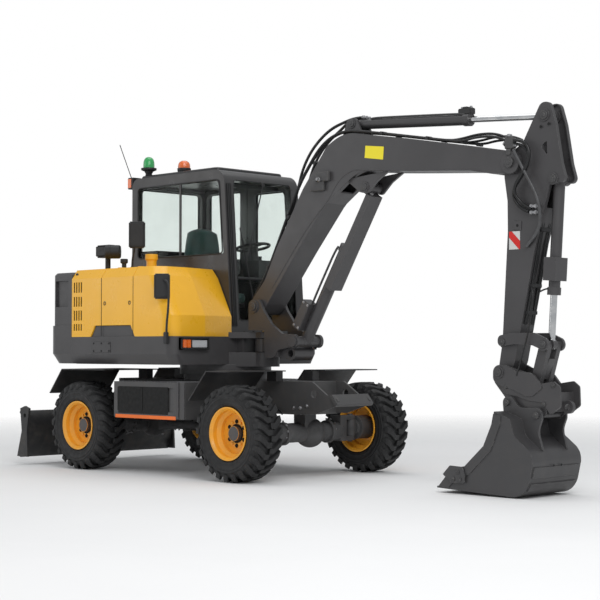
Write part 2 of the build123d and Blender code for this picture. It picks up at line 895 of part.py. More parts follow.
def cab_shell(outer_inset, inner_inset, wall):
    """A closed shell that follows the cab's side view."""
    width = cab_left - cab_right
    with BuildPart() as shell:
        with BuildSketch(Plane.XZ.offset(-cab_left)) as outside:
            add(inset_outline(cab_side, outer_inset))
        extrude(outside.sketch, amount=width)
        with BuildSketch(Plane.XZ.offset(-cab_left + wall)) as inside:
            add(inset_outline(cab_side, inner_inset))
        extrude(inside.sketch, amount=width - 2 * wall, mode=Mode.SUBTRACT)
    return shell.part


with BuildPart() as cab_frame:
    add(cab_shell(0, cab_wall, cab_wall))
    front_plate(front_window, -150, 320, Mode.SUBTRACT)
    front_plate(rear_window, cab_rear - 10, cab_rear + cab_wall + 60, Mode.SUBTRACT)
    side_plate(right_window, cab_right - 10, cab_right + cab_wall + 5, Mode.SUBTRACT)
    side_plate(left_window, cab_left - cab_wall - 5, cab_left + 10, Mode.SUBTRACT)
    side_plate(door_outline, cab_left - cab_wall - 5, cab_left + 10, Mode.SUBTRACT)
    # Bar that divides the right-hand window, outside its glass
    block(window_bar_x - 11, window_bar_x + 11, cab_right, cab_right + glass_inset - seat_gap,
          window_low - 10, window_high + 10)
    for z in door_hinge_heights:
        upright(*door_hinge, hinge_radius, z, z + hinge_leaf)
        block(door_hinge[0] - 40, door_hinge[0], cab_left, door_hinge[1], z, z + hinge_leaf)
finish(cab_frame, "cab_frame")

with BuildPart() as cab_glass:
    add(cab_shell(glass_inset, glass_inset + glass, cab_wall))
    front_plate(front_window, -100, 320, Mode.INTERSECT)
    with BuildPart(mode=Mode.PRIVATE) as others:
        side_plate(right_window, cab_right + glass_inset, cab_right + glass_inset + glass)
        side_plate(left_window, cab_left - glass_inset - glass, cab_left - glass_inset)
        front_plate(rear_window, cab_rear + glass_inset, cab_rear + glass_inset + glass)
    add(others.part)
finish(cab_glass, "cab_glass")

door_window = (
    (door_rear + 100, 1700, 40),
    (cab_front_at(1700) - 135, 1700, 40),
    (cab_front_at(window_high - 40) - 140, window_high - 40, 70),
    (door_rear + 100, window_high - 40, 40),
)
with BuildPart() as cab_door:
    with BuildSketch(Plane.XZ.offset(-cab_left)) as panel:
        add(inset_outline(door_outline, door_gap))
    extrude(panel.sketch, amount=cab_wall)
    side_plate(door_window, cab_left - cab_wall - 5, cab_left + 5, Mode.SUBTRACT)
    for z in door_hinge_heights:
        low = z + hinge_leaf + seat_gap
        upright(*door_hinge, hinge_radius, low, low + hinge_leaf)
        block(door_hinge[0], door_hinge[0] + 50, cab_left - 1, door_hinge[1], low,
              low + hinge_leaf)
finish(cab_door, "cab_door")
with BuildPart() as door_glass:
    side_plate(door_window, cab_left - glass_inset - glass, cab_left - glass_inset)
finish(door_glass, "door_glass")

with BuildPart() as cab_roof:
    block(cab_rear + 60, -120, cab_right + 45, cab_left - 45, cab_top, cab_top + roof_rise)
    fillet(cab_roof.edges().filter_by(Axis.Z), 60)
    fillet(cab_roof.edges().group_by(Axis.Z)[-1], 22)
finish(cab_roof, "cab_roof")

seat_y = 470
with BuildPart() as operator_seat:
    block(-870, -590, seat_y - 190, seat_y + 190, cab_floor, 1580)
    block(-920, -440, seat_y - 250, seat_y + 250, 1580, 1700)
    block(-925, -805, seat_y - 250, seat_y + 250, 1700, 2330)
    fillet(operator_seat.edges().filter_by(Axis.X).group_by(Axis.Z)[-1], 110)
finish(operator_seat, "operator_seat")

wheel_centre = (-135, 480, 2125)
with BuildPart() as controls:
    for y0, y1 in ((80, 190), (750, 850)):
        block(-850, -340, y0, y1, cab_floor, 1830)
        upright(-380, (y0 + y1) / 2, 13, 1830, 1990)
        upright(-380, (y0 + y1) / 2, 24, 1990, 2060)
    upright(10, 480, 46, cab_floor, cab_floor + 40)
    bar((10, 480, cab_floor + 20), (-130, 480, 2122), 38)
    block(-190, 30, 400, 560, 1780, 1990)
    with Locations(Location(wheel_centre, (0, -10, 0))):
        Torus(160, 14)
        Cylinder(30, 26)
        Box(310, 24, 12)
    # Padded shelf behind the seat
    block(cab_rear + cab_wall + 20, -1005, cab_right + cab_wall + seat_gap,
          cab_left - cab_wall - seat_gap,
          cab_shelf_z + 16 + cab_wall, 2110)
finish(controls, "controls")

with BuildPart() as fittings:
    # Filler stub, cap, intake box and drum on the hood
    upright(-733, -300, 50, hood_top, 2020)
    upright(-733, -300, 62, 1995, 2050)
    upright(-778, -600, 24, hood_top, 1995)
    upright(-1180, -480, 26, hood_top, 2030)
    block(-1300, -1090, -540, -440, 2025, 2150)
    bar((-1120, -560, 2078), (-1010, -450, 2078), 66)
finish(fittings, "hood_fittings")

beacon_rows = (
    # X, Y, foot radius, stem height, flange radius, dome radius, height over the roof
    (-1190, 40, 34, 60, 78, 56, 190),
    (-720, 100, 60, 22, 68, 60, 118),
)
lamp_rows = (
    # box from, to, lens from, to (Y)
    (-857, -530, -841, -749),
    (560, 857, 749, 841),
)
lamp_depth = 45
lamp_face = 33
lamp_rim = 12
lamp_low = 1130
lamp_high = 1238
with BuildPart() as lamps:
    for y0, y1, lens_y0, lens_y1 in lamp_rows:
        block(house_front, house_front + lamp_depth, y0, y1, lamp_low, lamp_high)
        block(house_front + lamp_face, house_front + lamp_depth + 1, y0 + lamp_rim, y1 - lamp_rim,
              lamp_low + lamp_rim, lamp_high - lamp_rim, Mode.SUBTRACT)
        block(house_front + lamp_face - 1, house_front + lamp_depth - 2, lens_y0, lens_y1,
              lamp_low + lamp_rim + 6, lamp_high - lamp_rim - 6)
    for x, y, foot, stem, flange, dome, height in beacon_rows:
        with BuildSketch(Plane.XZ) as profile:
            with BuildLine():
                Polyline((0, height), (0, 0), (foot, 0), (flange, stem), (flange, stem + 18),
                         (dome, stem + 18))
                Line((dome, stem + 18), (dome - 4, height - dome / 2))
                Spline((dome - 4, height - dome / 2), (dome * 0.66, height - dome * 0.13), (0, height),
                       tangents=((0, 1), (-1, 0)))
            make_face()
        with Locations((x, y, roof_top)):
            add(revolve(profile.sketch, axis=Axis.Z, mode=Mode.PRIVATE))
    # Aerial on the work lamp
    bar((cab_rear - 30, -20, cab_top - 20), (cab_rear - 190, -60, cab_top + 365), 5)
    # Work lamp behind the cab's rear corner
    block(cab_rear - 95, cab_rear, -40, 80, 2745, 2865)
finish(lamps, "lamps")

with BuildPart() as mirrors:
    block(225, 275, -962, -930, 1180, 1290)
    bar((250, -952, 1285), (232, -930, 1705), 11)
    with Locations(Location((200, -952, 1695), (0, 0, 45))):
        Box(150, 34, 235)
    upright(-840, -452, 12, hood_top, hood_top + 30)
    bar((-840, -452, hood_top + 25), (-800, -452, 2250), 12)
    with Locations(Location((-770, -452, 2232), (0, 0, 45))):
        Box(165, 40, 265)
finish(mirrors, "mirrors")

# ----------------------------------------------------------- swing post ----
post_side = (
    (488, 1308, 0),
    (488, 1585, 60),
    (632, 1585, 62),
    (680, 1490, 0),
    (785, 1362, 0),
    (922, 1273, 0),
    (1122, 1262, 55),
    (1122, 1142, 55),
    (1010, 1150, 0),
    (880, 1130, 0),
    (820, 1060, 40),
    (700, 1045, 30),
    (692, 1300, 0),
)
nose_eye = (985, 1095)
with BuildPart() as swing_post:
    for y0, y1 in both_sides(post_half_width - post_plate, post_half_width):
        side_plate(post_side, y0, y1)
    # Middle: the lug that turns on the pin, and the block between the plates
    upright(swing_axis_x, 0, 108, house_low + 116, deck_top - 20)
    block(swing_axis_x, 880, -100, 100, house_low + 116, deck_top - 20)
    block(700, 860, -post_half_width + 5, post_half_width - 5, house_low + 70, deck_top - 10)
    upright(swing_axis_x, 0, swing_pin_radius + running_gap, house_low, deck_top, Mode.SUBTRACT)
    block(850, 960, -120, 120, 1050, 1150)
    cross_bar(nose_eye, 62, -120, 120)
    cross_bar(nose_eye, 34, -121, 121, Mode.SUBTRACT)
    bosses(boom_foot, 58, boom_half_width + 4, post_half_width + 14)
    bosses(boom_foot, pin_radius + running_gap, boom_half_width, post_half_width + 20,
           Mode.SUBTRACT)
    bosses(boom_cylinder_base, 48, boom_eye_half + seat_gap, post_half_width + 14)
finish(swing_post, "swing_post")

# ----------------------------------------------------------------- boom ----
boom_side = (
    (484, 1470, 72),
    (500, 1590, 0),
    (660, 1760, 200),
    (815, 2050, 0),
    (1145, 2551, 0),
    (1440, 2905, 0),
    (1640, 3010, 420),
    (2359, 2888, 0),
    (3032, 2762, 0),
    (3400, 2690, 60),
    (3530, 2640, 80),
    (3500, 2500, 80),
    (3240, 2520, 60),
    (3031, 2563, 0),
    (1819, 2664, 380),
    (1434, 2410, 0),
    (1094, 2024, 0),
    (860, 1745, 0),
    (690, 1540, 0),
    (590, 1440, 60),
)
knee_bracket = (
    (1640, 2600, 0),
    (2150, 2640, 0),
    (2010, 2560, 80),
    (1900, 2460, 50),
    (1810, 2480, 40),
    (1700, 2560, 0),
)
with BuildPart() as boom:
    side_plate(boom_side, -boom_half_width, boom_half_width)
    with BuildSketch(Plane.XZ.offset(-boom_half_width + boom_wall)) as hollow:
        add(inset_outline(boom_side, boom_wall))
    extrude(hollow.sketch, amount=2 * (boom_half_width - boom_wall), mode=Mode.SUBTRACT)
    # Foot: a boss through which the foot pin runs out into the post's ears
    cross_bar(boom_foot, 72, -boom_half_width, boom_half_width)
    cross_bar(boom_foot, pin_radius, -post_half_width - 18, post_half_width + 18)
    # Fork at the tip, round the arm
    block(fork_root, 3600, -fork_half, fork_half, 2400, 2800, Mode.SUBTRACT)
    block(fork_root - boom_wall, fork_root, -boom_half_width + 1, boom_half_width - 1, 2545, 2700)
    bosses(arm_pivot, 88, fork_half, boom_half_width + 12)
    bosses(arm_pivot, pin_radius + running_gap, fork_half - 1, boom_half_width + 20,
           Mode.SUBTRACT)
    # Window in the underside, where the boom cylinder's eye comes up at its limits
    block(1560, 1880, -knee_slot_half, knee_slot_half, 2400, 2690, Mode.SUBTRACT)
    # Bracket under the knee for the boom cylinder's eye
    for y0, y1 in both_sides(82, 104):
        side_plate(knee_bracket, y0, y1)
    bosses(boom_cylinder_eye, 46, 82, 112)
    # Bracket on top for the arm cylinder's base
    for y0, y1 in both_sides(50, 72):
        side_plate(
            (
                (1560, 2930, 0),
                (1840, 2930, 0),
                (1740, 3130, 45),
                (1640, 3130, 45),
            ),
            y0,
            y1,
        )
    bosses(arm_cylinder_base, 44, arm_eye_half + seat_gap, 80)
finish(boom, "boom")

# ------------------------------------------------------------------ arm ----
arm_side = (
    (3690, 3040, 60),
    (3515, 2740, 0),
    (3336, 2640, 90),
    (3340, 2480, 60),
    (3368, 2300, 0),
    (3370, 2061, 0),
    (3314, 1198, 0),
    (3262, 905, 52),
    (3374, 893, 52),
    (3436, 1046, 0),
    (3504, 1358, 0),
    (3638, 1959, 0),
    (3774, 2414, 30),
    (3925, 2405, 40),
    (3880, 2560, 0),
    (3827, 2867, 0),
    (3775, 3040, 55),
)
with BuildPart() as arm:
    side_plate(arm_side, -arm_half_width, arm_half_width)
    with BuildSketch(Plane.XZ.offset(-arm_half_width + arm_wall)) as arm_hollow:
        add(inset_outline(arm_side, arm_wall))
    extrude(arm_hollow.sketch, amount=2 * (arm_half_width - arm_wall), mode=Mode.SUBTRACT)
    cross_bar(arm_pivot, 90, -arm_half_width, arm_half_width)
    cross_bar(arm_pivot, pin_radius, -boom_half_width - 24, boom_half_width + 24)
    cross_bar(bucket_pivot, 52, -arm_half_width, arm_half_width)
    cross_bar(bucket_pivot, pin_radius + running_gap, -arm_half_width - 1, arm_half_width + 1,
              Mode.SUBTRACT)
    cross_bar(rocker_pivot, 50, -arm_half_width, arm_half_width)
    cross_bar(rocker_pivot, rocker_pin_radius + running_gap, -arm_half_width - 1,
              arm_half_width + 1, Mode.SUBTRACT)
    # The apex opens into two ears, for the arm cylinder's eye and the bucket
    # cylinder's base
    block(3520, 4000, -apex_half_gap, apex_half_gap, 2790, 3100, Mode.SUBTRACT)
    block(3700, 4000, -apex_half_gap, apex_half_gap, 2225, 2800, Mode.SUBTRACT)
    side_plate(((3690, 2700, 8), (3750, 2620, 8), (3745, 2740, 8)), -100, 100, Mode.SUBTRACT)
    block(3688, 3700, -arm_half_width + 1, arm_half_width - 1, 2440, 2780)
    bosses(arm_apex, 48, apex_half_gap, arm_half_width + 10)
    bosses(bucket_cylinder_base, 46, bucket_eye_half + seat_gap, arm_half_width + 10)
finish(arm, "arm")


# ------------------------------------------------------------ cylinders ----
def towards(start, end):
    """Unit step (X, Z) from one pin to another, and the distance."""
    run = (end[0] - start[0], end[1] - start[1])
    length = hypot(*run)
    return (run[0] / length, run[1] / length), length


def along(start, end, distance, across=0):
    """X, Z of a point some way from one pin to another, and to its left."""
    step, _ = towards(start, end)
    return (
        start[0] + step[0] * distance - step[1] * across,
        start[1] + step[1] * distance + step[0] * across,
    )


def rod_bar(start, end, first, last, radius, mode=Mode.ADD):
    """A round bar on the line between two pins."""
    a = along(start, end, first)
    b = along(start, end, last)
    bar((a[0], 0, a[1]), (b[0], 0, b[1]), radius, mode)


def cylinder_barrel(base, end, barrel_length, barrel_radius, rod_radius, eye_radius, half_width):
    """Barrel on its base pin, bored for the rod."""
    with BuildPart() as barrel:
        rod_bar(base, end, 0, barrel_length, barrel_radius)
        rod_bar(base, end, barrel_length - 60, barrel_length, barrel_radius + 8)
        cross_bar(base, eye_radius, -half_width, half_width)
        rod_bar(base, end, eye_radius + 30, barrel_length + 1, rod_radius + rod_pin_gap,
                Mode.SUBTRACT)
    return barrel.part


def cylinder_rod(base, end, rod_start, rod_radius, eye_radius, half_width):
    """Rod from inside the barrel to its eye."""
    _, reach = towards(base, end)
    with BuildPart() as rod:
        rod_bar(base, end, rod_start, reach, rod_radius)
        cross_bar(end, eye_radius, -half_width, half_width)
    return rod.part


boom_barrel_length = 975
arm_barrel_length = 1255
bucket_barrel_length = 890
with BuildPart() as boom_cylinder:
    add(cylinder_barrel(boom_cylinder_base, boom_cylinder_eye, boom_barrel_length, 55, 30, 50,
                        boom_eye_half))
    # Valve block beside the barrel
    side_plate(
        [(*along(boom_cylinder_base, boom_cylinder_eye, d, a), 0) for d, a in
         ((90, 40), (360, 40), (360, 130), (90, 130))],
        -110,
        -10,
    )
finish(boom_cylinder, "boom_cylinder")
with BuildPart() as boom_rod:
    add(cylinder_rod(boom_cylinder_base, boom_cylinder_eye, 610, 30, 45, 74))
    # Channel-shaped guard in front of the rod, down over the barrel
    span = towards(boom_cylinder_base, boom_cylinder_eye)[1]
    g = [along(boom_cylinder_base, boom_cylinder_eye, d, a) for d, a in
         ((span - 48, -80), (span - 975, -80), (span - 975, -72), (span - 48, -72))]
    side_plate([(x, z, 0) for x, z in g], -76, 76)
    for y0, y1 in both_sides(70, 76):
        g = [along(boom_cylinder_base, boom_cylinder_eye, d, a) for d, a in
             ((span - 48, -80), (span - 975, -80), (span - 975, -20), (span - 48, -20))]
        side_plate([(x, z, 0) for x, z in g], y0, y1)
    g = [along(boom_cylinder_base, boom_cylinder_eye, d, a) for d, a in
         ((span - 48, -78), (span - 60, -78), (span - 60, 0), (span - 48, 0))]
    side_plate([(x, z, 0) for x, z in g], -71, 71)
finish(boom_rod, "boom_rod")

with BuildPart() as arm_cylinder:
    add(cylinder_barrel(arm_cylinder_base, arm_apex, arm_barrel_length, 45, 25, 42,
                        arm_eye_half))
finish(arm_cylinder, "arm_cylinder")
with BuildPart() as arm_rod:
    add(cylinder_rod(arm_cylinder_base, arm_apex, 690, 25, 40, 42))
finish(arm_rod, "arm_rod")

with BuildPart() as bucket_cylinder:
    add(cylinder_barrel(bucket_cylinder_base, rocker_pin, bucket_barrel_length, 45, 27, 42,
                        bucket_eye_half))
    # Box-shaped guard round the barrel's end
    side_plate(
        [(*along(bucket_cylinder_base, rocker_pin, d, a), 0) for d, a in
         ((600, -56), (780, -56), (780, 56), (600, 56))],
        -78,
        78,
    )
    rod_bar(bucket_cylinder_base, rocker_pin, 590, 790, 27 + rod_pin_gap, Mode.SUBTRACT)
finish(bucket_cylinder, "bucket_cylinder")
with BuildPart() as bucket_rod:
    add(cylinder_rod(bucket_cylinder_base, rocker_pin, 420, 27, 42, 26))
finish(bucket_rod, "bucket_rod")

# ----------------------------------------------------- bucket linkage ----
lever_side = (
    (rocker_pivot[0] - 46, rocker_pivot[1] - 40, 40),
    (rocker_pivot[0] - 40, rocker_pivot[1] + 50, 40),
    (3420, 1262, 60),
    (3640, 1262, 100),
    (rocker_pin[0] + 55, rocker_pin[1] + 35, 45),
    (rocker_pin[0] + 30, rocker_pin[1] - 55, 40),
    (3620, 1165, 60),
    (3450, 1175, 60),
)
with BuildPart() as rocker:
    for y0, y1 in both_sides(lever_in, lever_out):
        side_plate(lever_side, y0, y1)
    cross_bar(rocker_pivot, rocker_pin_radius, -lever_out, lever_out)
    bosses(rocker_pin, 50, lever_in, lever_out)
    cross_bar(rocker_pin, 28, 28 + 4, lever_out)
    cross_bar(rocker_pin, 28, -lever_out, -28 - 4)
finish(rocker, "rocker")

with BuildPart() as link:
    for y0, y1 in both_sides(link_in, link_out):
        side_plate(
            (
                (rocker_pin[0] - 44, rocker_pin[1] + 30, 38),
                (rocker_pin[0] + 44, rocker_pin[1] + 30, 38),
                (link_pin[0] + 45, link_pin[1] - 25, 38),
                (link_pin[0] - 45, link_pin[1] - 25, 38),
            ),
            y0,
            y1,
        )
    side_plate(
        (
            (rocker_pin[0] - 90, rocker_pin[1] - 110, 0),
            (rocker_pin[0] + 10, rocker_pin[1] - 110, 0),
            (link_pin[0] + 45, link_pin[1] + 25, 0),
            (link_pin[0] - 45, link_pin[1] + 25, 0),
        ),
        -link_in - 1,
        link_in + 1,
    )
    cross_bar(rocker_pin, 28 + running_gap, -100, 100, Mode.SUBTRACT)
finish(link, "bucket_link")

# ------------------------------------------------------ coupler, bucket ----
hook_side = (
    (3270, 1000, 50),
    (3370, 1010, 50),
    (3640, 940, 60),
    (3690, 880, 50),
    (3760, 760, 40),
    (3760, 640, 30),
    (3690, 585, 30),
    (3620, 660, 0),
    (3480, 700, 30),
    (3400, 665, 40),
    (3370, 760, 20),
    (3262, 880, 50),
)
lower_side = (
    (3330, 860, 15),
    (3345, 795, 20),
    (3492, 768, 60),
    (3600, 738, 60),
    (3725, 728, 50),
    (3800, 636, 20),
    (3895, 700, 25),
    (3890, 850, 30),
    (3835, 890, 20),
    (3735, 875, 30),
    (3600, 850, 0),
)
upper_side = (
    (3262, 890, 48),
    (3262, 1012, 60),
    (3390, 1012, 40),
    (3480, 968, 60),
    (3640, 950, 80),
    (3735, 840, 20),
    (3640, 775, 25),
    (3575, 772, 30),
    (3440, 828, 40),
    (3330, 850, 40),
)
coupler_layers = (
    # side view, thickness
    (hook_side, 8),
    (lower_side, 15),
    (upper_side, 22),
)
ring_eye = (3876, 694)
ring_radius = 50
ring_hole = 25
front_pin, rear_pin = bucket_pins
with BuildPart() as coupler:
    for corners, thickness in coupler_layers:
        for y0, y1 in both_sides(coupler_in, coupler_in + thickness):
            side_plate(corners, y0, y1)
    bosses(bucket_pivot, 48, coupler_in, coupler_out + 10)
    # Rear cross plate with its lifting ring
    block(3806, 3832, -coupler_in - 1, coupler_in + 1, 660, 806)
    cross_bar(ring_eye, ring_radius, -16, 16)
    cross_bar(ring_eye, ring_hole, -17, 17, Mode.SUBTRACT)
    side_plate(
        (
            (3420, 800, 0),
            (3530, 770, 0),
            (3560, 728, 0),
            (3690, 715, 0),
            (3640, 640, 0),
            (3460, 735, 0),
        ),
        -coupler_in,
        coupler_in,
    )
    cross_bar(bucket_pivot, pin_radius, -coupler_out, coupler_out)
    for pin in bucket_pins:
        cross_bar(pin, 24 + running_gap, -200, 200, Mode.SUBTRACT)
finish(coupler, "coupler")

ear_side = (
    (3385, 645, 0),
    (3374, 768, 46),
    (3466, 768, 40),
    (3530, 682, 100),
    (3747, 690, 48),
    (3745, 600, 30),
    (3708, 510, 120),
    (3752, 368, 0),
    (3738, 358, 0),
    (3690, 394, 0),
    (3593, 468, 0),
    (3551, 597, 0),
)
mouth = ((3405, 640), (3386, 555), (3307, 387), (3122, 222), (2994, 200), (2860, 52))
back = ((2840, 45), (3420, 22), (3700, 15), (3775, 330), (3590, 470), (3550, 600), (3405, 650))
back_radii = (0, 160, 130, 80, 30)
cutter = ((3405, 640, 0), (3386, 555, 0), (3307, 387, 0), (3122, 222, 0), (2994, 200, 0),
          (2860, 52, 0), (2960, 44, 0), (3040, 132, 0), (3165, 160, 0), (3374, 350, 0),
          (3462, 545, 0), (3475, 622, 0))
cutter_plate = 8
wear_bands = ((60, 114), (160, 241))
band_inset = 24
band_rise = 9
heel_x = 3760
heel_reach = 130
with BuildPart() as bucket:
    with BuildSketch(Plane.XZ.offset(-bucket_half_width)) as wrapper:
        with BuildLine() as path:
            FilletPolyline(*back, radius=back_radii)
        trace(path.line, line_width=bucket_plate)
    extrude(wrapper.sketch, amount=2 * bucket_half_width)
    for y0, y1 in both_sides(bucket_half_width - bucket_plate, bucket_half_width):
        with BuildSketch(Plane.XZ.offset(-y1)) as cheek:
            with BuildLine():
                FilletPolyline(*back, radius=back_radii)
                Polyline(back[-1], *mouth, back[0])
            make_face()
        extrude(cheek.sketch, amount=y1 - y0)
    # Side cutters, and two wear bands across the heel
    for y0, y1 in both_sides(bucket_half_width, bucket_half_width + cutter_plate):
        side_plate(cutter, y0, y1)
    for z0, z1 in wear_bands:
        with BuildSketch(Plane.XZ.offset(-bucket_half_width + band_inset)) as band:
            trace(path.line, line_width=bucket_plate + 2 * band_rise)
            with Locations((heel_x, (z0 + z1) / 2)):
                Rectangle(2 * heel_reach, z1 - z0, mode=Mode.INTERSECT)
        extrude(band.sketch, amount=2 * (bucket_half_width - band_inset))
    for y0, y1 in both_sides(ear_in, ear_in + 22):
        side_plate(ear_side, y0, y1)
    for pin in bucket_pins:
        cross_bar(pin, 24, -ear_in - 34, ear_in + 34)
finish(bucket, "bucket")

# ------------------------------------------------------ blade cylinder ----
with BuildPart() as blade_cylinder:
    add(cylinder_barrel(blade_cylinder_base, blade_cylinder_eye, 320, 36, 20, 36,
                        blade_eye_half))
finish(blade_cylinder, "blade_cylinder")
with BuildPart() as blade_rod:
    add(cylinder_rod(blade_cylinder_base, blade_cylinder_eye, 190, 20, 34, 34))
finish(blade_rod, "blade_rod")

os.makedirs("parts", exist_ok=True)
for piece in pieces:
    piece.locate(Location((-frame_shift, 0, 0)))
    export_step(piece, f"parts/{piece.label}.step")
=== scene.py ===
"""Looks of the wheeled excavator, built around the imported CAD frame."""
import json
from math import cos, exp, pi, radians, sin, sqrt

import bmesh
import bpy
from mathutils import Matrix, Vector


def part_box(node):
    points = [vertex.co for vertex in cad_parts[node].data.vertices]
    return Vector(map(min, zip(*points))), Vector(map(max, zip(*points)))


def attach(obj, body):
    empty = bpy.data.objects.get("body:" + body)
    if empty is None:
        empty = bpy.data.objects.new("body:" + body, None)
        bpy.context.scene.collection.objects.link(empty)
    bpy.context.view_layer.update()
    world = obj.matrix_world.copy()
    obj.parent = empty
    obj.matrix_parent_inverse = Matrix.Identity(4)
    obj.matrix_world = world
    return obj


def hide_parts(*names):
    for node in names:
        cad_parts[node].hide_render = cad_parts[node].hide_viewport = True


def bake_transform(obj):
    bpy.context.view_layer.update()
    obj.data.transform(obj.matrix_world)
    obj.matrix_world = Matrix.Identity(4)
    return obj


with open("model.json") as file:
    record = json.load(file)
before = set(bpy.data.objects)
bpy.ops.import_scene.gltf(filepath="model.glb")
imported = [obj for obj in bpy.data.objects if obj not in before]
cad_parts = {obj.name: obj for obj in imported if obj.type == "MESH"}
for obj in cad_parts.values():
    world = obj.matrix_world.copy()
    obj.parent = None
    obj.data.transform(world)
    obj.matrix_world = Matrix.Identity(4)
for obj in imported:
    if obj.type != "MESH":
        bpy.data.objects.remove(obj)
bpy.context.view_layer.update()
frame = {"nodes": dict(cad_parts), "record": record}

nodes = frame["nodes"]
scene = bpy.context.scene
collection = scene.collection

# Places and sizes are in millimetres, from the slew axis and the ground; Vectors and the
# lengths in shaders are in metres.
FRAME_SHIFT = 955   # from the slew axis back to the frame's origin
CAB_TOP = 2872
BODY_SIDE = 931     # half the width over the skirts and side boxes
CYLINDERS = {
    # Base pin and rod's eye, X and Z, and the rod's radius
    "boom": ((1060, 1202), (1870, 2520), 30), "arm": ((1690, 3086), (3725, 2938), 25),
    "bucket": ((3803, 2440), (3719, 1171), 27), "blade": ((-1405, 705), (-1812, 400), 20),
}
LUG_COUNT = 24
WHEEL_FACE = 0.023   # metres from the tyre's middle plane out to the wheel disc's face
SIDES = (("right", -1), ("left", 1))
CHARCOAL = (0.056, 0.054, 0.056)
DUST = (0.17, 0.145, 0.115)
WORN_METAL = (0.3, 0.29, 0.28)
PLASTIC = ("house", "black_plastic")


# ---- camera ----
def make_camera():
    """The photograph's viewpoint: low, from the right front, a long lens."""
    azimuth = radians(44.81)
    pitch = radians(1.83)
    look = Vector((-sin(azimuth) * cos(pitch),
                   cos(azimuth) * cos(pitch), sin(pitch)))
    data = bpy.data.cameras.new("camera")
    data.sensor_width = 36
    data.lens = 91.26
    camera = bpy.data.objects.new("camera", data)
    camera.location = (9.652, -9.684, 1.14)
    camera.rotation_euler = look.to_track_quat("-Z", "Y").to_euler()
    collection.objects.link(camera)
    scene.camera = camera


def at(x, y, z):
    """A point of the part, in millimetres from the slew axis, in this scene."""
    return Vector(((x - FRAME_SHIFT) / 1000, y / 1000, z / 1000))


# ---- materials ----
class Nodes:
    """A node tree under construction."""

    def __init__(self, tree):
        self.tree = tree

    def feed(self, socket, value):
        """Gives a socket a number, a vector, a colour (a tuple) or a node's output."""
        if isinstance(value, bpy.types.NodeSocket):
            self.tree.links.new(value, socket)
        else:
            socket.default_value = (*value, 1) if isinstance(value, tuple) else value

    def add(self, kind, output=None, feeds=None, **settings):
        """A new node with its settings and what goes into its sockets, or its output."""
        node = self.tree.nodes.new("ShaderNode" + kind)
        for key, value in settings.items():
            setattr(node, key, value)
        for key, value in (feeds or {}).items():
            self.feed(node.inputs[key], value)
        return node if output is None else node.outputs[output]


class Shader(Nodes):
    """A Principled material under construction, with short ways to add nodes."""

    def __init__(self, name):
        self.material = bpy.data.materials.new(name)
        self.material.use_nodes = True
        super().__init__(self.material.node_tree)
        self.bsdf = self.tree.nodes["Principled BSDF"]
        self.coords = self.add("TexCoord", "Object")

    def set(self, **feeds):
        for key, value in feeds.items():
            self.feed(self.bsdf.inputs[key.replace("_", " ")], value)

    def noise(self, scale, detail=3.0, roughness=0.5):
        return self.add("TexNoise", "Fac", {
            "Scale": scale, "Detail": detail, "Roughness": roughness, "Vector": self.coords})

    def wave(self, scale, direction):
        return self.add("TexWave", "Fac", {"Scale": scale, "Vector": self.coords},
                        bands_direction=direction)

    def ramp(self, value, low, high, start=0.0, end=1.0):
        """Value mapped from low..high to start..end, and held outside."""
        return self.add("MapRange", "Result", {
            "From Min": low, "From Max": high, "To Min": start, "To Max": end, "Value": value})

    def combine(self, operation, a, b):
        return self.add("Math", "Value", {0: a, 1: b}, operation=operation)

    def times(self, a, b):
        return self.combine("MULTIPLY", a, b)

    def vector(self, operation, *values, output="Vector"):
        return self.add("VectorMath", output, dict(enumerate(values)), operation=operation)

    def mix(self, factor, a, b):
        return self.add("Mix", "Result", {"Factor": factor, "A": a, "B": b}, data_type="RGBA")

    def vary(self, noise, start, end, low=0.3, high=0.7):
        """Wanders between two numbers or two colours with a noise, given as its arguments."""
        noise = self.noise(*noise)
        if isinstance(start, tuple):
            return self.mix(self.ramp(noise, low, high), start, end)
        return self.ramp(noise, low, high, start, end)

    def rounded(self, radius):
        """The normal of the same surface with its sharp edges rounded."""
        return self.add("Bevel", "Normal", {"Radius": radius}, samples=6)

    def edges(self, radius=0.004):
        """A mask that is 1 along the piece's sharp edges, and the rounded normal."""
        rounded = self.rounded(radius)
        flat = self.add("NewGeometry", "Normal")
        likeness = self.vector("DOT_PRODUCT", rounded, flat, output="Value")
        return self.ramp(likeness, 0.985, 0.86), rounded

    def height(self):
        return self.add("SeparateXYZ", "Z", {"Vector": self.coords})

    def bump(self, height, strength, distance, normal=None):
        feeds = {"Strength": strength, "Distance": distance, "Height": height}
        if normal is not None:
            feeds["Normal"] = normal
        return self.add("Bump", "Normal", feeds)


def shade(colour, factor):
    return tuple(min(1.0, c * factor) for c in colour)


def paint(s, colour, rough=0.42, coat=0.0, dust=0.15, wear=0.35, spread=0.1):
    """Sprayed paint: slow tone drift, orange peel, dust low down, worn edges."""
    base = s.vary((2.2, 4), shade(colour, 1 - spread), shade(colour, 1 + spread))
    grime = s.ramp(s.noise(9, 6, 0.65), 0.45, 0.75)
    low = s.ramp(s.height(), 1.3, 0.1, 0.15, 1.0)
    dusty = s.times(s.times(grime, low), dust)
    edge, rounded = s.edges()
    chips = s.ramp(s.noise(38, 5, 0.7), 0.5, 0.62)
    worn = s.times(s.times(edge, chips), wear)
    gloss = s.vary((6, 5, 0.6), rough - 0.07, rough + 0.09)
    s.set(Base_Color=s.mix(worn, s.mix(dusty, base, DUST), WORN_METAL),
          Roughness=s.combine("ADD", gloss, s.times(dusty, 0.4)),
          Normal=s.bump(s.noise(220, 2), 0.06, 0.0006, rounded),
          Coat_Weight=coat, Coat_Roughness=0.12)


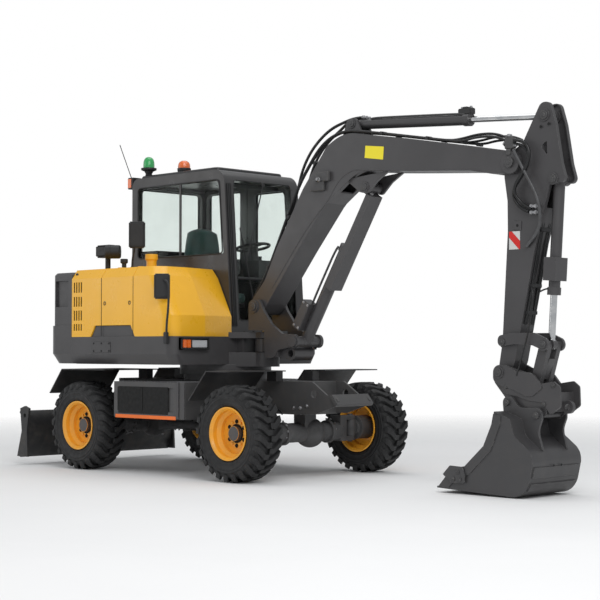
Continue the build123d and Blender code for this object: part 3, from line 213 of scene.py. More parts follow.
def cast_metal(s, colour):
    """Rough casting under paint, with a coarse skin and paler edges."""
    base = s.vary((7, 5, 0.6), shade(colour, 0.75), shade(colour, 1.3))
    edge, rounded = s.edges(0.006)
    s.set(Base_Color=s.mix(s.times(edge, 0.35), base, (0.22, 0.21, 0.2)),
          Roughness=s.vary((18, 4), 0.5, 0.72),
          Normal=s.bump(s.noise(130, 4, 0.65), 0.35, 0.0015, rounded))


def polished_rod(s):
    """Hard chrome: a very fine grain under a thin film of oil."""
    s.set(Base_Color=s.vary((14, 4), (0.62, 0.63, 0.64), (0.8, 0.8, 0.8), 0.35, 0.65),
          Roughness=s.vary((45, 5, 0.7), 0.12, 0.26),
          Normal=s.bump(s.noise(420, 2), 0.06, 0.0003), Metallic=1.0)


def guarded_rod(s, base, eye, radius):
    """Hard chrome on the rod itself, charcoal paint on its eye and guard."""
    start, end = (at(x, 0, z) for x, z in (base, eye))
    away = s.vector("SUBTRACT", s.coords, start)
    across = s.vector("CROSS_PRODUCT", away, (end - start).normalized())
    reach = s.vector("LENGTH", across, output="Value")
    painted = s.ramp(reach, radius / 1000 + 0.001, radius / 1000 + 0.003)
    bright = s.vary((14, 4), (0.6, 0.61, 0.62), (0.78, 0.78, 0.78), 0.35, 0.65)
    dull = s.vary((3, 4), shade(CHARCOAL, 0.9), shade(CHARCOAL, 1.1))
    edge, rounded = s.edges()
    dull = s.mix(s.times(edge, 0.3), dull, WORN_METAL)
    smear = s.vary((45, 5, 0.7), 0.1, 0.22)
    s.set(Base_Color=s.mix(painted, bright, dull), Metallic=s.ramp(painted, 0, 1, 1, 0),
          Roughness=s.combine("ADD", smear, s.times(painted, 0.22)),
          Normal=s.bump(s.noise(420, 2), 0.06, 0.0003, rounded))


def bare_steel(s, colour=(0.36, 0.36, 0.37), rough=0.38):
    """Ground or zinc-plated steel with smears and small scratches."""
    s.set(Base_Color=s.vary((20, 5, 0.6), shade(colour, 0.7), shade(colour, 1.25)),
          Roughness=s.vary((60, 4), rough - 0.1, rough + 0.14),
          Normal=s.bump(s.noise(300, 3), 0.15, 0.0004, s.rounded(0.0015)), Metallic=0.9)


def rubber(s, colour=(0.009, 0.009, 0.0095), rough=0.62, grain=160):
    """Moulded rubber: matt, finely pitted, a little chalky dust in the skin."""
    base = s.vary((12, 5, 0.65), colour, shade(colour, 2.1), 0.35, 0.75)
    edge, rounded = s.edges(0.003)
    s.set(Base_Color=s.mix(s.times(edge, 0.3), base, (0.075, 0.072, 0.068)),
          Roughness=s.vary((25, 4), rough - 0.1, rough + 0.12),
          Normal=s.bump(s.noise(grain, 4, 0.7), 0.25, 0.001, rounded))


def moulded(s, colour, rough=0.5):
    """Moulded plastic with a fine leather-like grain."""
    cells = s.add("TexVoronoi", "Distance", {"Scale": 420, "Vector": s.coords})
    s.set(Base_Color=s.vary((5, 3), shade(colour, 0.85), shade(colour, 1.2)),
          Roughness=s.vary((30, 3), rough - 0.06, rough + 0.08),
          Normal=s.bump(cells, 0.3, 0.0004, s.rounded(0.002)))


def lens(s, colour):
    """Coloured lamp lens with ribs moulded behind it."""
    ribs = s.wave(45, "DIAGONAL")
    s.set(Base_Color=s.mix(ribs, shade(colour, 0.7), shade(colour, 1.15)),
          Roughness=s.vary((40,), 0.12, 0.22), Normal=s.bump(ribs, 0.4, 0.0015),
          Coat_Weight=1.0, Coat_Roughness=0.05)


def tinted_glass(s, tint):
    """Tinted safety glass: mostly see-through, with a trace of dust."""
    s.set(Base_Color=s.vary((3, 5, 0.6), tint, shade(tint, 0.93), 0.4, 0.8),
          Roughness=s.vary((5, 4), 0.0, 0.05, 0.3, 0.8), Transmission_Weight=1.0, IOR=1.1,
          Normal=s.bump(s.noise(1.5, 2), 0.02, 0.002))


def woven(s, colour):
    """Woven upholstery: crossing threads, soft sheen, slight fading."""
    weave = s.times(s.wave(180, "Y"), s.wave(180, "Z"))
    s.set(Base_Color=s.vary((8, 4), shade(colour, 0.75), shade(colour, 1.35)),
          Roughness=s.vary((15,), 0.78, 0.92), Normal=s.bump(weave, 0.5, 0.0012),
          Sheen_Weight=0.35, Sheen_Roughness=0.5)


materials = {}


def define(name, make, *values, **settings):
    """Makes one finish; its name is a slot's of the record, or one that this script's tables and
    pieces ask for.
    """
    shader = Shader(name)
    make(shader, *values, **settings)
    materials[name] = shader.material


define("charcoal_paint", paint, CHARCOAL, rough=0.36, dust=0.1)
define("dark_paint", paint, (0.02, 0.02, 0.021), dust=0.25)
define("cab_paint", paint, (0.042, 0.041, 0.042), rough=0.32, dust=0.05, wear=0.1)
define("roof_paint", paint, (0.022, 0.021, 0.022), rough=0.3, dust=0.05, wear=0.1)
define("frame_paint", paint, (0.065, 0.064, 0.065), rough=0.45, dust=0.2, wear=0.3)
define("amber_paint", paint, (0.95, 0.49, 0.018), rough=0.3, coat=0.2, dust=0.02, wear=0.04,
       spread=0.03)
define("rim_paint", paint, (0.93, 0.42, 0.03), rough=0.4, coat=0.2, dust=0.25, wear=0.3,
       spread=0.05)
define("orange_paint", paint, (0.9, 0.17, 0.015), rough=0.4, dust=0.1, wear=0.2)
define("worn_steel", paint, (0.052, 0.051, 0.053), dust=0.06, wear=0.8)
define("hub_paint", paint, (0.085, 0.085, 0.088), rough=0.5, dust=0.2, wear=0.3)
define("pin_paint", paint, (0.052, 0.051, 0.052), rough=0.4, dust=0.1, wear=0.8)
define("pipe_paint", paint, (0.04, 0.04, 0.041), rough=0.35, dust=0.05, wear=0.5)
define("label_paint", paint, (0.9, 0.76, 0.02), rough=0.35, dust=0.02, wear=0.1, spread=0.03)
define("stripe_red", paint, (0.62, 0.015, 0.012), rough=0.35, dust=0.02, wear=0.2, spread=0.05)
define("stripe_white", paint, (0.62, 0.62, 0.61), rough=0.35, dust=0.05, wear=0.2, spread=0.03)
define("cast", cast_metal, (0.066, 0.065, 0.066))
define("engine_block", cast_metal, (0.035, 0.035, 0.036))
define("ground_steel", polished_rod)
for name, cylinder in CYLINDERS.items():
    define(name + "_rod_finish", guarded_rod, *cylinder)
define("zinc", bare_steel)
define("silvered", bare_steel, (0.75, 0.77, 0.8), 0.14)
define("tyre", rubber)
define("hose", rubber, (0.005, 0.005, 0.0055), 0.38, 380)
define("wrapped_hose", rubber, (0.045, 0.045, 0.047), 0.4, 300)
define("glass", tinted_glass, (0.84, 0.885, 0.865))
define("seat_fabric", woven, (0.014, 0.055, 0.05))
define("black_plastic", moulded, (0.016, 0.016, 0.017))
# Near-black matt finish: painted shade in seams, holes and the hub openings, and plain black on the
# wheel bolts and the side boxes' lids
define("black_and_painted_shade", moulded, (0.004, 0.004, 0.004), 0.8)
define("lamp_orange", lens, (0.95, 0.16, 0.01))
define("lamp_clear", lens, (0.55, 0.56, 0.58))
define("lamp_green", lens, (0.02, 0.42, 0.1))
slot_of = {part["node"]: part["material_slot"] for part in frame["record"]["subparts"]}
finish_of_slot = {"lamp_plastic": "lamp_orange"}
finish_of_node = {
    "cab_frame": "cab_paint", "cab_door": "cab_paint", "cab_roof": "roof_paint",
    "chassis_frame": "frame_paint", **{n + "_rod": n + "_rod_finish" for n in CYLINDERS},
}


def dress(data, name):
    data.materials.clear()
    data.materials.append(materials[name])


def dress_frame():
    for name, piece in nodes.items():
        look = "rim_paint" if name.startswith("rim_") else finish_of_node.get(name, slot_of[name])
        dress(piece.data, finish_of_slot.get(look, look))


# ---- shapes ----
def keep(mesh, name, body, finish, smooth=False):
    """Makes an object of a bmesh or mesh and lets it ride on a body, if it has one."""
    if isinstance(mesh, bmesh.types.BMesh):
        bmesh.ops.recalc_face_normals(mesh, faces=mesh.faces)
        data = bpy.data.meshes.new(name)
        mesh.to_mesh(data)
        mesh.free()
    else:
        data = mesh
    piece = bpy.data.objects.new(name, data)
    collection.objects.link(piece)
    dress(data, finish)
    if smooth:
        data.shade_smooth()
    if body:
        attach(piece, body)
    return piece


def ring(count, radius):
    """Places round a circle, from its centre."""
    turns = [2 * pi * k / count for k in range(count)]
    return [(radius * cos(turn), radius * sin(turn)) for turn in turns]


def add_lathe(mesh, profile, foot, direction, steps=32):
    """Adds a turned form: profile of (radius, distance along the axis)."""
    turn = Vector(direction).normalized().to_track_quat("Z", "Y").to_matrix().to_4x4()
    place = Matrix.Translation(foot) @ turn
    rings = []
    for radius, height in profile:
        circle = ring(steps, radius / 1000) if radius else [(0, 0)]
        rings.append([mesh.verts.new(place @ Vector((a, b, height / 1000))) for a, b in circle])
    for low, high in zip(rings, rings[1:]):
        for k in range(steps):
            corners = (low[k % len(low)], low[(k + 1) % len(low)],
                       high[(k + 1) % len(high)], high[k % len(high)])
            corners = [v for i, v in enumerate(corners) if v not in corners[:i]]
            if len(corners) > 2:
                mesh.faces.new(corners)
    return mesh


def lathe(name, body, finish, profile, foot, direction=(0, 0, 1), steps=32):
    return keep(add_lathe(bmesh.new(), profile, foot, direction, steps), name, body, finish)


def add_prism(mesh, outline, near, far):
    """Adds a plate between two flat copies of an outline."""
    ends = [[mesh.verts.new(near(*corner)) for corner in outline], [
        mesh.verts.new(far(*corner)) for corner in outline]]
    mesh.faces.new(ends[0])
    mesh.faces.new(list(reversed(ends[1])))
    count = len(outline)
    for k in range(count):
        mesh.faces.new((ends[0][k], ends[0][(k + 1) % count], ends[1][(k + 1) % count], ends[1][k]))
    return mesh


def soften(mesh, width, segments=2):
    """Rounds every edge a little."""
    bmesh.ops.recalc_face_normals(mesh, faces=mesh.faces)
    bmesh.ops.bevel(mesh, geom=mesh.edges[:], offset=width / 1000, segments=segments,
                    affect="EDGES", clamp_overlap=True)
    return mesh


def plate(name, body, finish, outline, y0, y1, edge=1.5):
    """A plate seen from the side: corners (X, Z) and its two faces' Y, in millimetres."""
    mesh = add_prism(bmesh.new(), outline, lambda x, z: at(x, y0, z), lambda x, z: at(x, y1, z))
    return keep(soften(mesh, edge), name, body, finish)


def add_box(mesh, low, high):
    (x0, y0, z0), (x1, y1, z1) = low, high
    return add_prism(mesh, ((x0, y0), (x1, y0), (x1, y1), (x0, y1)),
                     lambda x, y: at(x, y, z0), lambda x, y: at(x, y, z1))


def span(x, y, z):
    """A block's low and high corner, from its two ends along each axis in any order."""
    return tuple(zip(sorted(x), sorted(y), sorted(z)))


def boxes(name, body, finish, rows, edge=1.5):
    """Several blocks as one piece: rows of (low corner, high corner)."""
    whole = bmesh.new()
    for low, high in rows:
        part = soften(add_box(bmesh.new(), low, high), edge)
        data = bpy.data.meshes.new("part")
        part.to_mesh(data)
        part.free()
        whole.from_mesh(data)
        bpy.data.meshes.remove(data)
    return keep(whole, name, body, finish)


def turned_block(name, body, finish, size, turn, edge, segments=2, taper=(1, 1, 1), shift=0):
    """A rounded block: scaled by the taper at its -Y end, shifted along Y, then turned."""
    mesh = bmesh.new()
    bmesh.ops.create_cube(mesh, size=1)
    bmesh.ops.scale(mesh, vec=[side / 1000 for side in size], verts=mesh.verts)
    bmesh.ops.scale(mesh, vec=taper, verts=[v for v in mesh.verts if v.co.y < 0])
    bmesh.ops.translate(mesh, vec=(0, shift / 1000, 0), verts=mesh.verts)
    soften(mesh, edge, segments)
    bmesh.ops.transform(mesh, matrix=turn, verts=mesh.verts)
    return keep(mesh, name, body, finish)


def tube(name, body, finish, points, radius, closed=False):
    """A round hose or pipe along a smooth line through given points."""
    curve = bpy.data.curves.new(name, "CURVE")
    curve.dimensions = "3D"
    curve.bevel_depth = radius / 1000
    curve.bevel_resolution = 4
    curve.resolution_u = 10
    curve.use_fill_caps = True
    spline = curve.splines.new("NURBS")
    spline.points.add(len(points) - 1)
    for point, place in zip(spline.points, points):
        point.co = (*place, 1)
    spline.use_cyclic_u = closed
    spline.order_u = 3
    spline.use_endpoint_u = not closed
    made = bpy.data.objects.new(name, curve)
    collection.objects.link(made)
    bpy.context.view_layer.update()
    data = bpy.data.meshes.new_from_object(made)
    data.name = name
    bpy.data.objects.remove(made)
    return keep(data, name, body, finish, smooth=True)


def rod(name, body, finish, a, b, radius):
    """A straight round bar."""
    return tube(name, body, finish, (a, a.lerp(b, 0.5), b), radius)


def bolts(name, body, finish, rows, across, depth):
    """Bolt heads on washers: rows of (place, outward direction)."""
    mesh = bmesh.new()
    washer, head = across * 0.78, across / sqrt(3)
    for place, direction in rows:
        add_lathe(mesh, ((0, 0), (washer, 0), (washer, 2), (0, 2)), place, direction, 20)
        add_lathe(mesh, (
            (head, 2), (head, depth * 0.8), (head * 0.82, depth), (0, depth)), place, direction, 6)
    return keep(mesh, name, body, finish)


def pin_heads(name, body, finish, rows):
    """Round pin ends with a chamfer and a centre bolt: rows of (place, direction, radius)."""
    mesh = bmesh.new()
    for place, direction, radius in rows:
        bolt = radius * 0.42
        add_lathe(mesh, (
            (radius, 0), (radius, 6), (radius - 3, 9), (bolt, 9), (bolt, 12), (radius * 0.36, 14),
            (0, 14)), place, direction, 36)
    return keep(mesh, name, body, finish)


def both(y):
    """The two sides, as (Y, outward direction)."""
    return ((-y, (0, -1, 0)), (y, (0, 1, 0)))


def pins(name, body, rows, finish="pin_paint"):
    """Pin ends on both sides: rows of (X, half width, Z, radius)."""
    return pin_heads(name, body, finish, [
        (at(x, y, z), out, radius) for x, half, z, radius in rows for y, out in both(half)])


# ---- wheels ----
def tread_lug(mesh, centre, angle, side, pitch):
    """One chevron lug, from the middle of the tread out over the shoulder."""
    stations = (
        # Y, outer radius, root radius, angle and half width as shares of the pitch
        (-6, 415, 386, -0.52, 0.2), (40, 415.3, 386, -0.56, 0.23), (52, 415.3, 386, -0.47, 0.24),
        (100, 413.5, 384, -0.1, 0.24), (122, 408.5, 372, 0.05, 0.26),
        (141, 396, 360, 0.12, 0.24), (151.5, 366, 345, 0.14, 0.17),
    )
    rows = []
    for y, tip, root, lead, half in stations:
        row = []
        for radius, share in ((root, lead - half * 1.3), (tip, lead - half),
                              (tip, lead + half), (root, lead + half * 1.3)):
            turn, reach = angle + share * pitch, radius / 1000
            row.append(mesh.verts.new(centre + Vector((
                reach * cos(turn), side * y / 1000, reach * sin(turn)))))
        rows.append(row)
    for low, high in zip(rows, rows[1:]):
        for k in range(3):
            mesh.faces.new((low[k], low[k + 1], high[k + 1], high[k]))
    mesh.faces.new(rows[0])
    mesh.faces.new(list(reversed(rows[-1])))


def make_wheel(place):
    low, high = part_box("tyre_" + place)
    centre = (Vector(low) + Vector(high)) / 2
    body = "wheel_" + place
    side = 1 if centre.y > 0 else -1
    half_profile = (
        (209.8, 116), (233, 118), (236, 126), (245, 134.5), (257, 138.5),
        (258.5, 141), (264, 141), (266, 140), (284, 145.5), (302, 148.5),
        (303.5, 151), (308, 151.2), (310, 149), (326, 149), (327.5, 151.2),
        (332, 151.2), (334, 148.5), (348, 145), (360, 140), (372, 129),
        (382, 108), (387, 70), (388.5, 30),
    )
    profile = half_profile + tuple((r, -y) for r, y in reversed(half_profile))
    carcass = add_lathe(bmesh.new(), profile, centre, (0, 1, 0), 120)
    piece = keep(carcass, "tyre_body_" + place, body, "tyre", smooth=True)
    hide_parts("tyre_" + place)
    mesh = bmesh.new()
    pitch = 2 * pi / LUG_COUNT
    for lug in range(LUG_COUNT):
        tread_lug(mesh, centre, (lug + 0.25) * pitch, 1, pitch)
        tread_lug(mesh, centre, (lug - 0.25) * pitch, -1, pitch)
    soften(mesh, 2.2, 1)
    piece = keep(mesh, "tyre_lugs_" + place, body, "tyre")
    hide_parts("tyre_" + place)
    # Hub cap in its opening, a thin near-black ring of painted shade round it, and the wheel bolts
    face = centre + Vector((0, side * (WHEEL_FACE + 0.0005), 0))
    outward = (0, side, 0)
    lathe("hub_opening_" + place, body, "black_and_painted_shade",
          ((63.5, 0), (82, 0), (82, 1.2), (63.5, 1.2)), face, outward, 64)
    lathe("hub_cap_" + place, body, "hub_paint", (
        (64.5, 0), (64.5, 36), (61, 40.5), (45, 41.2), (43, 40), (18, 40.5), (0, 40.5)),
        face, outward, 64)
    bolts("wheel_bolts_" + place, body, "black_and_painted_shade", [
        (face + Vector((-b, 0, a)), outward) for a, b in ring(6, 0.103)], 24, 12)
    # Valve stem
    tube("valve_" + place, body, "black_plastic", [
        face + Vector((x, side * y, z)) for x, y, z in (
            (0.15, -0.002, 0.045), (0.152, 0.02, 0.046), (0.153, 0.045, 0.047))], 4)


# ---- lamps ----
def make_lamps():
    """Beacons, aerial, work lamp and the two lamp boxes in place of the plain ones."""
    green, orange = at(-1190, 40, CAB_TOP), at(-720, 100, CAB_TOP)
    pieces = [
        lathe("beacon_green_base", *PLASTIC, (
            (0, 0), (34, 0), (36, 10), (30, 16), (46, 44), (76, 56), (78, 60), (78, 76), (60, 79),
            (0, 79)), green, steps=40),
        lathe("beacon_green_lens", "house", "lamp_green", (
            (56, 78), (56.5, 110), (54, 140), (47, 163), (34, 180), (17, 188), (0, 190)),
            green, steps=40),
        lathe("beacon_orange_base", *PLASTIC, (
            (0, 0), (60, 0), (67, 22), (68, 38), (64, 42), (0, 42)), orange, steps=40),
        lathe("beacon_orange_lens", "house", "lamp_orange", (
            (60, 41), (60.5, 62), (57, 84), (47, 101), (30, 113), (14, 117), (0, 118)),
            orange, steps=40),
        tube("aerial", *PLASTIC,
             (at(-1370, -20, 2820), at(-1450, -40, 3010), at(-1530, -60, 3205)), 4.2),
        boxes("work_lamp_box", *PLASTIC, (
            ((-1432, -38, 2747), (-1345, 78, 2863)), ((-1355, 0, 2770), (-1341, 40, 2840))), 6),
        boxes("work_lamp_lens", "house", "lamp_orange", (
            ((-1428, -40, 2757), (-1372, -30, 2853)), ((-1435, -28, 2757), (-1424, 68, 2853))), 3),
    ]
    outer, wall = 857, 12
    for (name, side), inner in zip(SIDES, (530, 560)):
        def block(x, near, far, z):
            return span(x, (side * near, side * far), z)

        shell = [block((320, depth), near, far, z) for depth, near, far, z in (
            (352, inner, outer, (1130, 1238)), (365, inner, outer, (1130, 1130 + wall)),
            (365, inner, outer, (1238 - wall, 1238)), (365, outer - wall, outer, (1130, 1238)),
            (365, inner, inner + wall, (1130, 1238)))]
        cells = [block((350, 363), start, start - 44, (1148, 1220))
                 for start in (outer - 18, outer - 66)]
        glass = [block((350, 358), outer - 130, inner + 20, (1150, 1218))]
        pieces += [boxes("lamp_box_" + name, *PLASTIC, shell, 2.5),
                   boxes("lamp_lens_" + name, "house", "lamp_orange", cells, 4),
                   boxes("lamp_glass_" + name, "house", "lamp_clear", glass, 4)]
    for piece in pieces:
        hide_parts("lamps")


# ---- cab ----
def seal(name, outline, place, radius=6.5, body="house"):
    """Rubber strip round a window: outline corners placed in space by a function."""
    points = []
    count = len(outline)
    for k, corner in enumerate(outline):
        before, after = outline[k - 1], outline[(k + 1) % count]
        for other, share in ((before, 0.1), (corner, 0.0), (after, 0.1)):
            points.append(place(corner[0] + (other[0] - corner[0]) * share,
                                corner[1] + (other[1] - corner[1]) * share))
    return tube(name, body, "hose", points, radius, closed=True)


def make_cab():
    right = ((-1245, 2035), (12, 2035), (-40, 2740), (-1245, 2740))
    seal("seal_right", right, lambda x, z: at(x, -53, z))
    seal("seal_right_inner", right, lambda x, z: at(x, -12, z), 5)
    front_low, front_high = at(114, 0, 1405), at(23, 0, 2740)

    def on_front(y, share, proud=0):
        """A place on the front window, its share of the way up, and off the glass."""
        spot = front_low.lerp(front_high, share)
        return Vector((spot.x + 0.004, y / 1000, spot.z)) + Vector((proud / 1000, 0, 0))

    seal("seal_front", ((62, 0.0), (828, 0.0), (828, 1.0), (62, 1.0)), on_front)
    seal("seal_rear", ((45, 2035), (835, 2035), (835, 2740), (45, 2740)),
         lambda y, z: at(-1342, y, z))
    seal("seal_left", ((-1245, 2035), (-750, 2035), (-750, 2740), (-1245, 2740)),
         lambda x, z: at(x, 931, z))
    seal("seal_door", ((-540, 1705), (-42, 1705), (-100, 2700), (-540, 2700)),
         lambda x, z: at(x, 926, z), body="cab_door")
    # Cross bar of the front window and its wiper
    rod("front_rail", *PLASTIC, on_front(62, 0.3), on_front(828, 0.3), 12)
    rod("wiper_arm", *PLASTIC, on_front(445, 0.985, 14), on_front(180, 0.42, 12), 6)
    rod("wiper_blade", "house", "hose", on_front(120, 0.66, 8), on_front(245, 0.16, 8), 7)
    lathe("wiper_pivot", *PLASTIC, (
        (0, 0), (24, 0), (24, 14), (18, 20), (0, 20)), on_front(445, 0.985), (1, 0, 0.07))
    # Hoses down the right-hand front pillar
    for k, y in enumerate((-20, 0, 20)):
        tube("pillar_hose_%d" % k, "house", "hose",
             [on_front(y, share, 12) for share in (0.97, 0.7, 0.45, 0.2, -0.04)], 8)
    # Grab rails
    tube("grab_rail_door", *PLASTIC, (
        at(75, 935, 1420), at(88, 946, 1440), at(60, 946, 1800), at(38, 946, 2180),
        at(22, 935, 2200)), 11)
    tube("grab_rail_rear", *PLASTIC, [at(-700, y, z) for y, z in (
        (930, 1560), (946, 1580), (946, 1900), (946, 2180), (930, 2200))], 11)
    # Door handle
    boxes("door_handle", "cab_door", "black_plastic", (
        ((-600, 926, 1560), (-470, 942, 1615)), ((-585, 938, 1572), (-490, 954, 1600))), 4)
    # Gutter round the roof, sun blind under its front edge, hatch on top
    seal("roof_gutter", ((-1265, 0), (-140, 0), (-140, 878), (-1265, 878)),
         lambda x, y: at(x, y, 2846), 8)
    boxes("sun_blind", *PLASTIC, (((-130, 90, 2690), (-112, 800, 2735)),), 6)
    boxes("roof_hatch", "house", "cab_paint", (((-900, 200, 2868), (-330, 690, 2884)),), 7)
    # Mat, pedals and the monitor
    boxes("floor_mat", "house", "hose", (((-600, 90, 1306), (60, 850, 1316)),), 3)
    boxes("pedals", *PLASTIC, (
        ((-60, 330, 1316), (60, 400, 1345)), ((-60, 560, 1316), (60, 630, 1345)),
        ((-80, 660, 1316), (20, 720, 1345))), 8)
    boxes("monitor", *PLASTIC, (
        ((-40, 40, 1850), (0, 190, 1990)), ((-30, 100, 1700), (-10, 130, 1860))), 8)


def cushion(low, high, axes, seams):
    """A padded form: a rounded block that swells between its edges, with sewn channels.

    The axes are indexes: across the form, along it from seam to seam, out of its face.
    """
    roundness, swelling, groove_depth, side_seam, groove_width = 0.38, 0.16, 0.07, 0.62, 0.035
    mesh = bmesh.new()
    bmesh.ops.create_cube(mesh, size=2)
    bmesh.ops.subdivide_edges(mesh, edges=mesh.edges[:], cuts=23, use_grid_fill=True)
    middle = (low + high) / 2
    half = (high - low) / 2
    for vertex in mesh.verts:
        cube = vertex.co.copy()
        squares = [c * c for c in cube]
        ball = Vector()
        for k in range(3):
            a, b = squares[k - 2], squares[k - 1]
            ball[k] = cube[k] * sqrt(max(0.0, 1 - a / 2 - b / 2 + a * b / 3))
        mixed = cube.lerp(ball, roundness)
        across, along, face = (mixed[k] for k in axes)
        swell = 1 - swelling * (across * across + along * along) / 2
        offsets = [along - seam for seam in seams] + [abs(across) - side_seam]
        groove = sum(exp(-(offset / groove_width) ** 2) for offset in offsets)
        mixed[axes[2]] = face * (swell - groove_depth * groove)
        vertex.co = middle + Vector([share * size for share, size in zip(mixed, half)])
    return mesh


def make_seat():
    form = cushion(at(-925, 225, 1575), at(-440, 715, 1702), (1, 0, 2), (-0.35, 0.15, 0.6))
    base = keep(form, "seat_cushion", "house", "seat_fabric", smooth=True)
    form = cushion(at(-930, 232, 1690), at(-800, 708, 2345), (1, 2, 0), (-0.5, -0.1, 0.35))
    foot, back_height, narrowing = at(0, 470, 1690), 0.655, 0.26
    for vertex in form.verts:
        rise = max(0.0, vertex.co.z - foot.z) / back_height
        vertex.co.y = foot.y + (vertex.co.y - foot.y) * (1 - narrowing * rise * rise)
    back = keep(form, "seat_back", "house", "seat_fabric", smooth=True)
    for piece, fill in ((base, 0.75), (back, 0.75)):
        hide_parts("operator_seat")
    mesh = bmesh.new()
    for fold in range(6):
        z = 1345 + fold * 36
        half = 178 - 7 * (fold % 2)
        add_box(mesh, (-730 - half * 0.75, 470 - half, z), (-730 + half * 0.75, 470 + half, z + 30))
    piece = keep(soften(mesh, 8), "seat_bellows", "house", "hose")
    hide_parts("operator_seat")
    piece = boxes("seat_frame", *PLASTIC, (
        ((-870, 290, 1306), (-590, 650, 1345)), ((-905, 250, 1548), (-470, 690, 1582)),
        ((-938, 300, 1600), (-915, 640, 2100))), 6)
    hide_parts("operator_seat")
    for name, y in (("right", 205), ("left", 735)):
        form = cushion(at(-830, y - 32, 1838), at(-520, y + 32, 1885), (1, 0, 2), ())
        keep(form, "arm_rest_" + name, *PLASTIC, smooth=True)


# ---- hood ----
def make_hood():
    # Seams as near-black strips, painted shade in the panel gaps, and catches
    for k, x in enumerate((-702, -233)):
        boxes("hood_seam_%d" % k, "house", "black_and_painted_shade",
              (((x - 3, -930.7, 1256), (x + 3, -928.2, 1798)),), 0.4)
    catches = (("side_door", (-650, -928, 1560)), ("side_door", (-285, -928, 1560)),
               ("house", (-1110, -902, 1840)))
    for k, (body, place) in enumerate(catches):
        lathe("hood_catch_%d" % k, body, "black_plastic", (
            (0, 0), (19, 0), (19, 3), (13, 4), (13, 2), (0, 2)), at(*place), (0, -1, 0))
    # Filler, cap and intake
    pieces = [
        lathe("filler_stub", "house", "amber_paint", (
            (62, 0), (62, 6), (50, 10), (50, 100), (60, 106), (62, 110), (62, 156), (58, 161),
            (30, 162), (0, 162)), at(-733, -300, 1888), steps=48),
        lathe("tank_cap", *PLASTIC, (
            (30, 0), (30, 6), (22, 12), (22, 60), (34, 66), (36, 74), (36, 100), (31, 106),
            (0, 107)), at(-778, -600, 1888), steps=36),
        boxes("intake_box", *PLASTIC, (
            ((-1300, -540, 2027), (-1092, -440, 2150)),
            ((-1290, -548, 2040), (-1100, -536, 2138))), 14),
        lathe("intake_drum", *PLASTIC, (
            (0, 0), (56, 0), (66, 10), (66, 40), (69, 43), (69, 55), (66, 58), (66, 140), (56, 152),
            (0, 154)), at(-1122, -562, 2078), (1, 1, 0), steps=48),
        lathe("intake_stem", *PLASTIC, ((36, 0), (36, 8), (26, 14), (26, 140)),
              at(-1180, -480, 1888)),
    ]
    for piece in pieces:
        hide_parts("hood_fittings")
    # Blades in the vent slots
    boxes("vent_blades", *PLASTIC, [
        ((x - 18, -926, z0 + 1), (x - 14, -906, z1 - 1))
        for z0, z1 in ((1310, 1372), (1406, 1500), (1538, 1630), (1670, 1768))
        for x in (-1000, -1036, -1072, -1108)], 0.6)


def make_mirrors():
    """Two mirrors: a housing with a bevelled rim, silvered glass and a bent arm."""
    pieces = []
    for name, centre, (width, depth, tall) in (
            ("low", (200, -952, 1695), (150, 34, 235)),
            ("high", (-770, -452, 2232), (165, 40, 265))):
        turn = Matrix.Translation(at(*centre)) @ Matrix.Rotation(radians(45), 4, "Z")
        pieces += [
            turned_block("mirror_%s_shell" % name, *PLASTIC, (width, depth, tall), turn,
                         11, 4, (0.86, 1, 0.9)),
            turned_block("mirror_%s_glass" % name, "house", "silvered",
                         (width * 0.88, 3, tall * 0.9), turn, 1, shift=depth / 2 + 0.6),
        ]
    pieces += [
        tube("mirror_low_arm", *PLASTIC, (
            at(262, -950, 1190), at(262, -953, 1330), at(290, -955, 1480), at(300, -955, 1640),
            at(290, -955, 1740), at(225, -952, 1752)), 10),
        boxes("mirror_low_foot", *PLASTIC, (((226, -961, 1182), (275, -931, 1288)),), 6),
        tube("mirror_high_arm", *PLASTIC, [at(x, -452, z) for x, z in (
            (-840, 1889), (-840, 1960), (-826, 2040), (-800, 2120), (-790, 2230))], 10),
        lathe("mirror_high_foot", *PLASTIC, ((26, 0), (26, 8), (16, 14), (14, 40)),
              at(-840, -452, 1888)),
    ]
    for piece in pieces:
        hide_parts("mirrors")


def make_house():
    # Inspection plate with its bolts on the skirt
    plate("skirt_plate", "house", "charcoal_paint", (
        (-830, 1102), (-560, 1102), (-560, 1205), (-830, 1205)), -930.5, -934)
    bolts("skirt_bolts", *PLASTIC, [
        (at(x, -934, z), (0, -1, 0)) for x in (-810, -695, -580) for z in (1118, 1189)], 12, 7)
    # Lock and ribs of the rear lid
    lathe("lid_lock", "rear_lid", "zinc", (
        (0, 0), (16, 0), (16, 4), (6, 6), (0, 4)), at(-1590, 140, 1450), (-1, 0, 0))
    boxes("lid_ribs", "rear_lid", "amber_paint", [
        ((-1593, y, 1400), (-1589, y + 26, 1780)) for y in range(-560, -140, 60)])
    # Swing pin's head and the deck's bolts
    pin_heads("swing_pin_head", "house", "zinc", [(at(560, 0, 1294), (0, 0, 1), 44)])
    bolts("deck_bolts", *PLASTIC, [
        (at(x, y, 1290), (0, 0, 1)) for x, y in ((480, -90), (480, 90), (420, 150), (420, -150))],
        18, 11)


